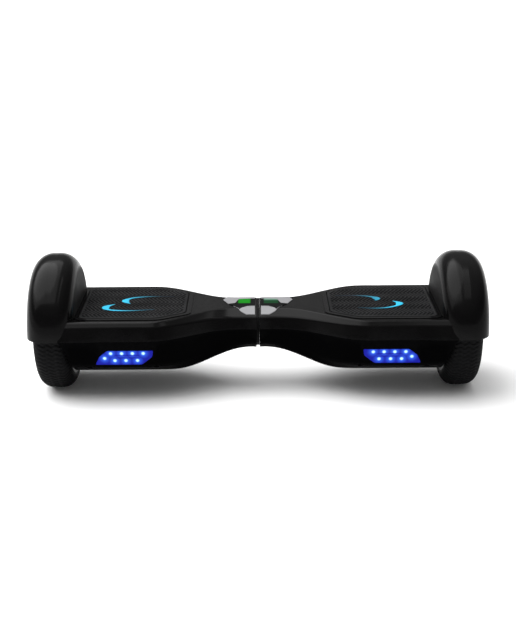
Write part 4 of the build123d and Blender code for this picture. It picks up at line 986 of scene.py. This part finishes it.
@dataclass
class Studio:
    """Pale floor, soft lights and the camera."""

    distance: float = 1.6
    elevation: float = 18.0
    target: Point = (0.0, 0.0, 0.0868)
    roll: float = -0.4
    lens: float = 67.8
    floor_half: float = 30.0
    sky_stops: tuple[tuple[float, float], ...] = (
        (0.0, 1.0), (0.13, 1.0), (0.2, 0.25), (0.34, 0.25), (0.95, 0.8),
    )

    def floor(self) -> None:
        """Lay the floor."""
        mesh = bpy.data.meshes.new("floor")
        h = self.floor_half
        mesh.from_pydata([(-h, -h, 0), (h, -h, 0), (h, h, 0), (-h, h, 0)], [], [(0, 1, 2, 3)])
        mesh.materials.append(StudioFloor().build())
        made = bpy.data.objects.new("floor", mesh)
        bpy.context.scene.collection.objects.link(made)

    def lamp(self, name: str, spot: Point, aim: Point, size: tuple[float, float], watts: float) -> None:
        """Hang one soft rectangular light.

        Args:
            name: its name.
            spot: where it is.
            aim: where it points.
            size: its width and height in metres.
            watts: its power.
        """
        light = bpy.data.lights.new(name, "AREA")
        light.shape = "RECTANGLE"
        light.size, light.size_y = size
        light.energy = watts
        made = bpy.data.objects.new(name, light)
        made.location = spot
        made.rotation_mode = "QUATERNION"
        made.rotation_quaternion = (Vector(aim) - Vector(spot)).to_track_quat("-Z", "Y")
        bpy.context.scene.collection.objects.link(made)

    def sky(self) -> bpy.types.World:
        """A sky with a pale wall all round at the horizon, a dim room over it and a soft box overhead.

        Returns:
            The world.
        """
        world = bpy.data.worlds.new("studio")
        world.use_nodes = True
        tree = world.node_tree
        way = tree.nodes.new("ShaderNodeTexCoord").outputs["Generated"]
        height = tree.nodes.new("ShaderNodeSeparateXYZ")
        tree.links.new(way, height.inputs[0])
        level = tree.nodes.new("ShaderNodeValToRGB")
        ramp = level.color_ramp
        ramp.interpolation = "EASE"
        while len(ramp.elements) < len(self.sky_stops):
            ramp.elements.new(0.5)
        for element, (rise, value) in zip(ramp.elements, self.sky_stops):
            element.position = rise
            element.color = (value, value, value, 1.0)
        tree.links.new(height.outputs[2], level.inputs[0])
        tree.links.new(level.outputs[0], tree.nodes["Background"].inputs["Strength"])
        tree.nodes["Background"].inputs["Color"].default_value = (1.0, 1.0, 1.0, 1.0)
        return world

    def lights(self) -> None:
        """Set the lights and the sky."""
        bpy.context.scene.world = self.sky()
        self.lamp("ceiling", (-1.35, 0.07, 1.2), (-1.35, 0.07, 0.0), (2.9, 2.15), 35.0)
        self.lamp("strip", (0.43, -0.3, 1.2), (0.43, -0.3, 0.0), (0.14, 1.2), 1.0)
        self.sun("skylight", (-0.45, 0.15, 0.88), 70.0, 2.3)

    def sun(self, name: str, towards: Point, spread: float, strength: float) -> None:
        """Hang one broad distant light that falls evenly on the whole floor.

        Args:
            name: its name.
            towards: the direction to it.
            spread: how many degrees it is across.
            strength: its strength.
        """
        light = bpy.data.lights.new(name, "SUN")
        light.angle = math.radians(spread)
        light.energy = strength
        made = bpy.data.objects.new(name, light)
        made.rotation_mode = "QUATERNION"
        made.rotation_quaternion = (-Vector(towards)).to_track_quat("-Z", "Y")
        bpy.context.scene.collection.objects.link(made)

    def camera(self) -> None:
        """Set the camera."""
        data = bpy.data.cameras.new("camera")
        data.lens = self.lens
        data.sensor_width = 36.0
        data.clip_start, data.clip_end = 0.05, 100.0
        made = bpy.data.objects.new("camera", data)
        tilt = math.radians(self.elevation)
        back = Vector((0.0, -math.cos(tilt), math.sin(tilt)))
        made.location = Vector(self.target) + back * self.distance
        made.rotation_mode = "QUATERNION"
        turn = Quaternion((0.0, 0.0, 1.0), math.radians(self.roll))
        made.rotation_quaternion = (-back).to_track_quat("-Z", "Y") @ turn
        bpy.context.scene.collection.objects.link(made)
        bpy.context.scene.camera = made

    def build(self) -> None:
        """Set up all of it."""
        bpy.context.scene.view_settings.view_transform = "Standard"
        self.camera()
        self.floor()
        self.lights()
        log.info("studio is set")


def slot_finishes() -> dict[str, bpy.types.Material]:
    """Make a finish for each of the record's slots.

    Returns:
        Slot name to material.
    """
    black = (0.006, 0.006, 0.007)
    haze = (0.012, 0.012, 0.013)
    recipes = {
        "shell_gloss": GlossMoulding(
            "shell_gloss", (0.0013, 0.0012, 0.0013), (0.0024, 0.0023, 0.0024), (0.12, 0.2),
            specular=0.08, coat=0.0, wear=0.05, side_roughness=0.45,
        ),
        "belly_gloss": GlossMoulding(
            "belly_gloss", (0.0004, 0.0004, 0.0005), (0.0008, 0.0008, 0.0009), (0.2, 0.32),
            specular=0.006, coat=0.0, wear=0.02,
        ),
        "cast_alloy": PaintedCasting(
            "cast_alloy", (0.55, 0.56, 0.58), metallic=0.9, roughness=(0.4, 0.6), grain_mm=0.15,
        ),
        "fastener": MachinedMetal("fastener", (0.2, 0.2, 0.21)),
        "mat_rubber": TreadRubber(
            # the first colour is painted shade for the mat's grooves; the second is the scuffed rib top
            "mat_rubber", (0.0006, 0.0008, 0.001), (0.018, 0.018, 0.0187), low_mm=111.6, high_mm=112.2,
        ),
        "inner_plastic": MouldedRubber(
            "inner_plastic", (0.0016, 0.0016, 0.0018), (0.006, 0.006, 0.0065), (0.5, 0.65),
            specular=0.05, grain_mm=0.02,
        ),
        "boot_rubber": MouldedRubber("boot_rubber", (0.02, 0.02, 0.02), (0.05, 0.05, 0.05)),
        "circuit": BoardLacquer("circuit", (0.01, 0.09, 0.03), (0.2, 0.35, 0.12)),
        "tyre_rubber": MouldedRubber(
            "tyre_rubber", (0.0018, 0.0018, 0.002), (0.006, 0.006, 0.0064), (0.5, 0.7), specular=0.05,
        ),
        "rotor_paint": PaintedCasting("rotor_paint", (0.02, 0.02, 0.022), metallic=0.0),
        "magnet": MachinedMetal("magnet", (0.55, 0.55, 0.56)),
        "stator_steel": MachinedMetal("stator_steel", (0.5, 0.28, 0.14)),
        "axle_steel": MachinedMetal("axle_steel", (0.5, 0.51, 0.53)),
        "bearing_steel": MachinedMetal("bearing_steel", (0.7, 0.71, 0.73), (0.08, 0.2)),
        "lamp_lens": GlossMoulding(
            "lamp_lens", (0.01, 0.03, 0.3), (0.02, 0.05, 0.4), (0.1, 0.2), specular=0.5, coat=0.5,
            wear=0.0,
        ),
        "lamp_board": BoardLacquer("lamp_board", (0.02, 0.05, 0.3), (0.3, 0.4, 0.8)),
        "badge_white": GlossMoulding(
            "badge_white", (0.235, 0.235, 0.243), (0.205, 0.205, 0.212), (0.12, 0.24), specular=0.1,
            coat=0.0, wear=0.0,
        ),
        "badge_lens": GlossMoulding(
            "badge_lens", black, haze, (0.1, 0.2), specular=0.5, coat=0.5, wear=0.0,
        ),
        "indicator_circuit": BoardLacquer("indicator_circuit", (0.01, 0.1, 0.03), (0.2, 0.4, 0.2)),
        "lead_sheath": MouldedRubber("lead_sheath", (0.01, 0.01, 0.01), (0.03, 0.03, 0.03)),
        "bush": MachinedMetal("bush", (0.6, 0.42, 0.18)),
        "cell": MouldedRubber(
            "cell", (0.05, 0.2, 0.45), (0.1, 0.3, 0.5), (0.3, 0.45), specular=0.5, grain_mm=0.02,
        ),
        "battery_skin": MouldedRubber(
            "battery_skin", (0.01, 0.07, 0.3), (0.03, 0.12, 0.4), (0.2, 0.35), specular=0.5,
            grain_mm=0.02,
        ),
        "socket_plastic": MouldedRubber(
            "socket_plastic", (0.012, 0.012, 0.013), (0.03, 0.03, 0.03), (0.35, 0.5), specular=0.4,
            grain_mm=0.04,
        ),
        "cap_rubber": MouldedRubber("cap_rubber", (0.012, 0.012, 0.012), (0.035, 0.035, 0.035)),
        "power_board": BoardLacquer("power_board", (0.02, 0.12, 0.05), (0.3, 0.4, 0.2)),
        "button_plastic": MachinedMetal("button_plastic", (0.5, 0.51, 0.52), (0.2, 0.35), (1.0, 1.0, 12.0)),
    }
    return {name: finish.build() for name, finish in recipes.items()}


def main() -> None:
    """Build the studio, dress the solids and add the detailed pieces."""
    logging.basicConfig(level=logging.INFO, format="%(name)s: %(message)s")
    Studio().build()
    finishes = slot_finishes()
    casework = Casework(finishes)
    casework.dress()
    casework.light()
    # the streak print gets a painted glow on top of its printed colour
    ink = PrintWithPaintedGlow("streak_ink_painted_glow", (0.02, 0.34, 0.52), (0.003, 0.01, 0.02)).build()
    for side in Side:
        TreadedTyre(side, finishes["tyre_rubber"]).build()
        FootMat(side, finishes["mat_rubber"], ink).build()


if __name__ == "__main__":
    main()
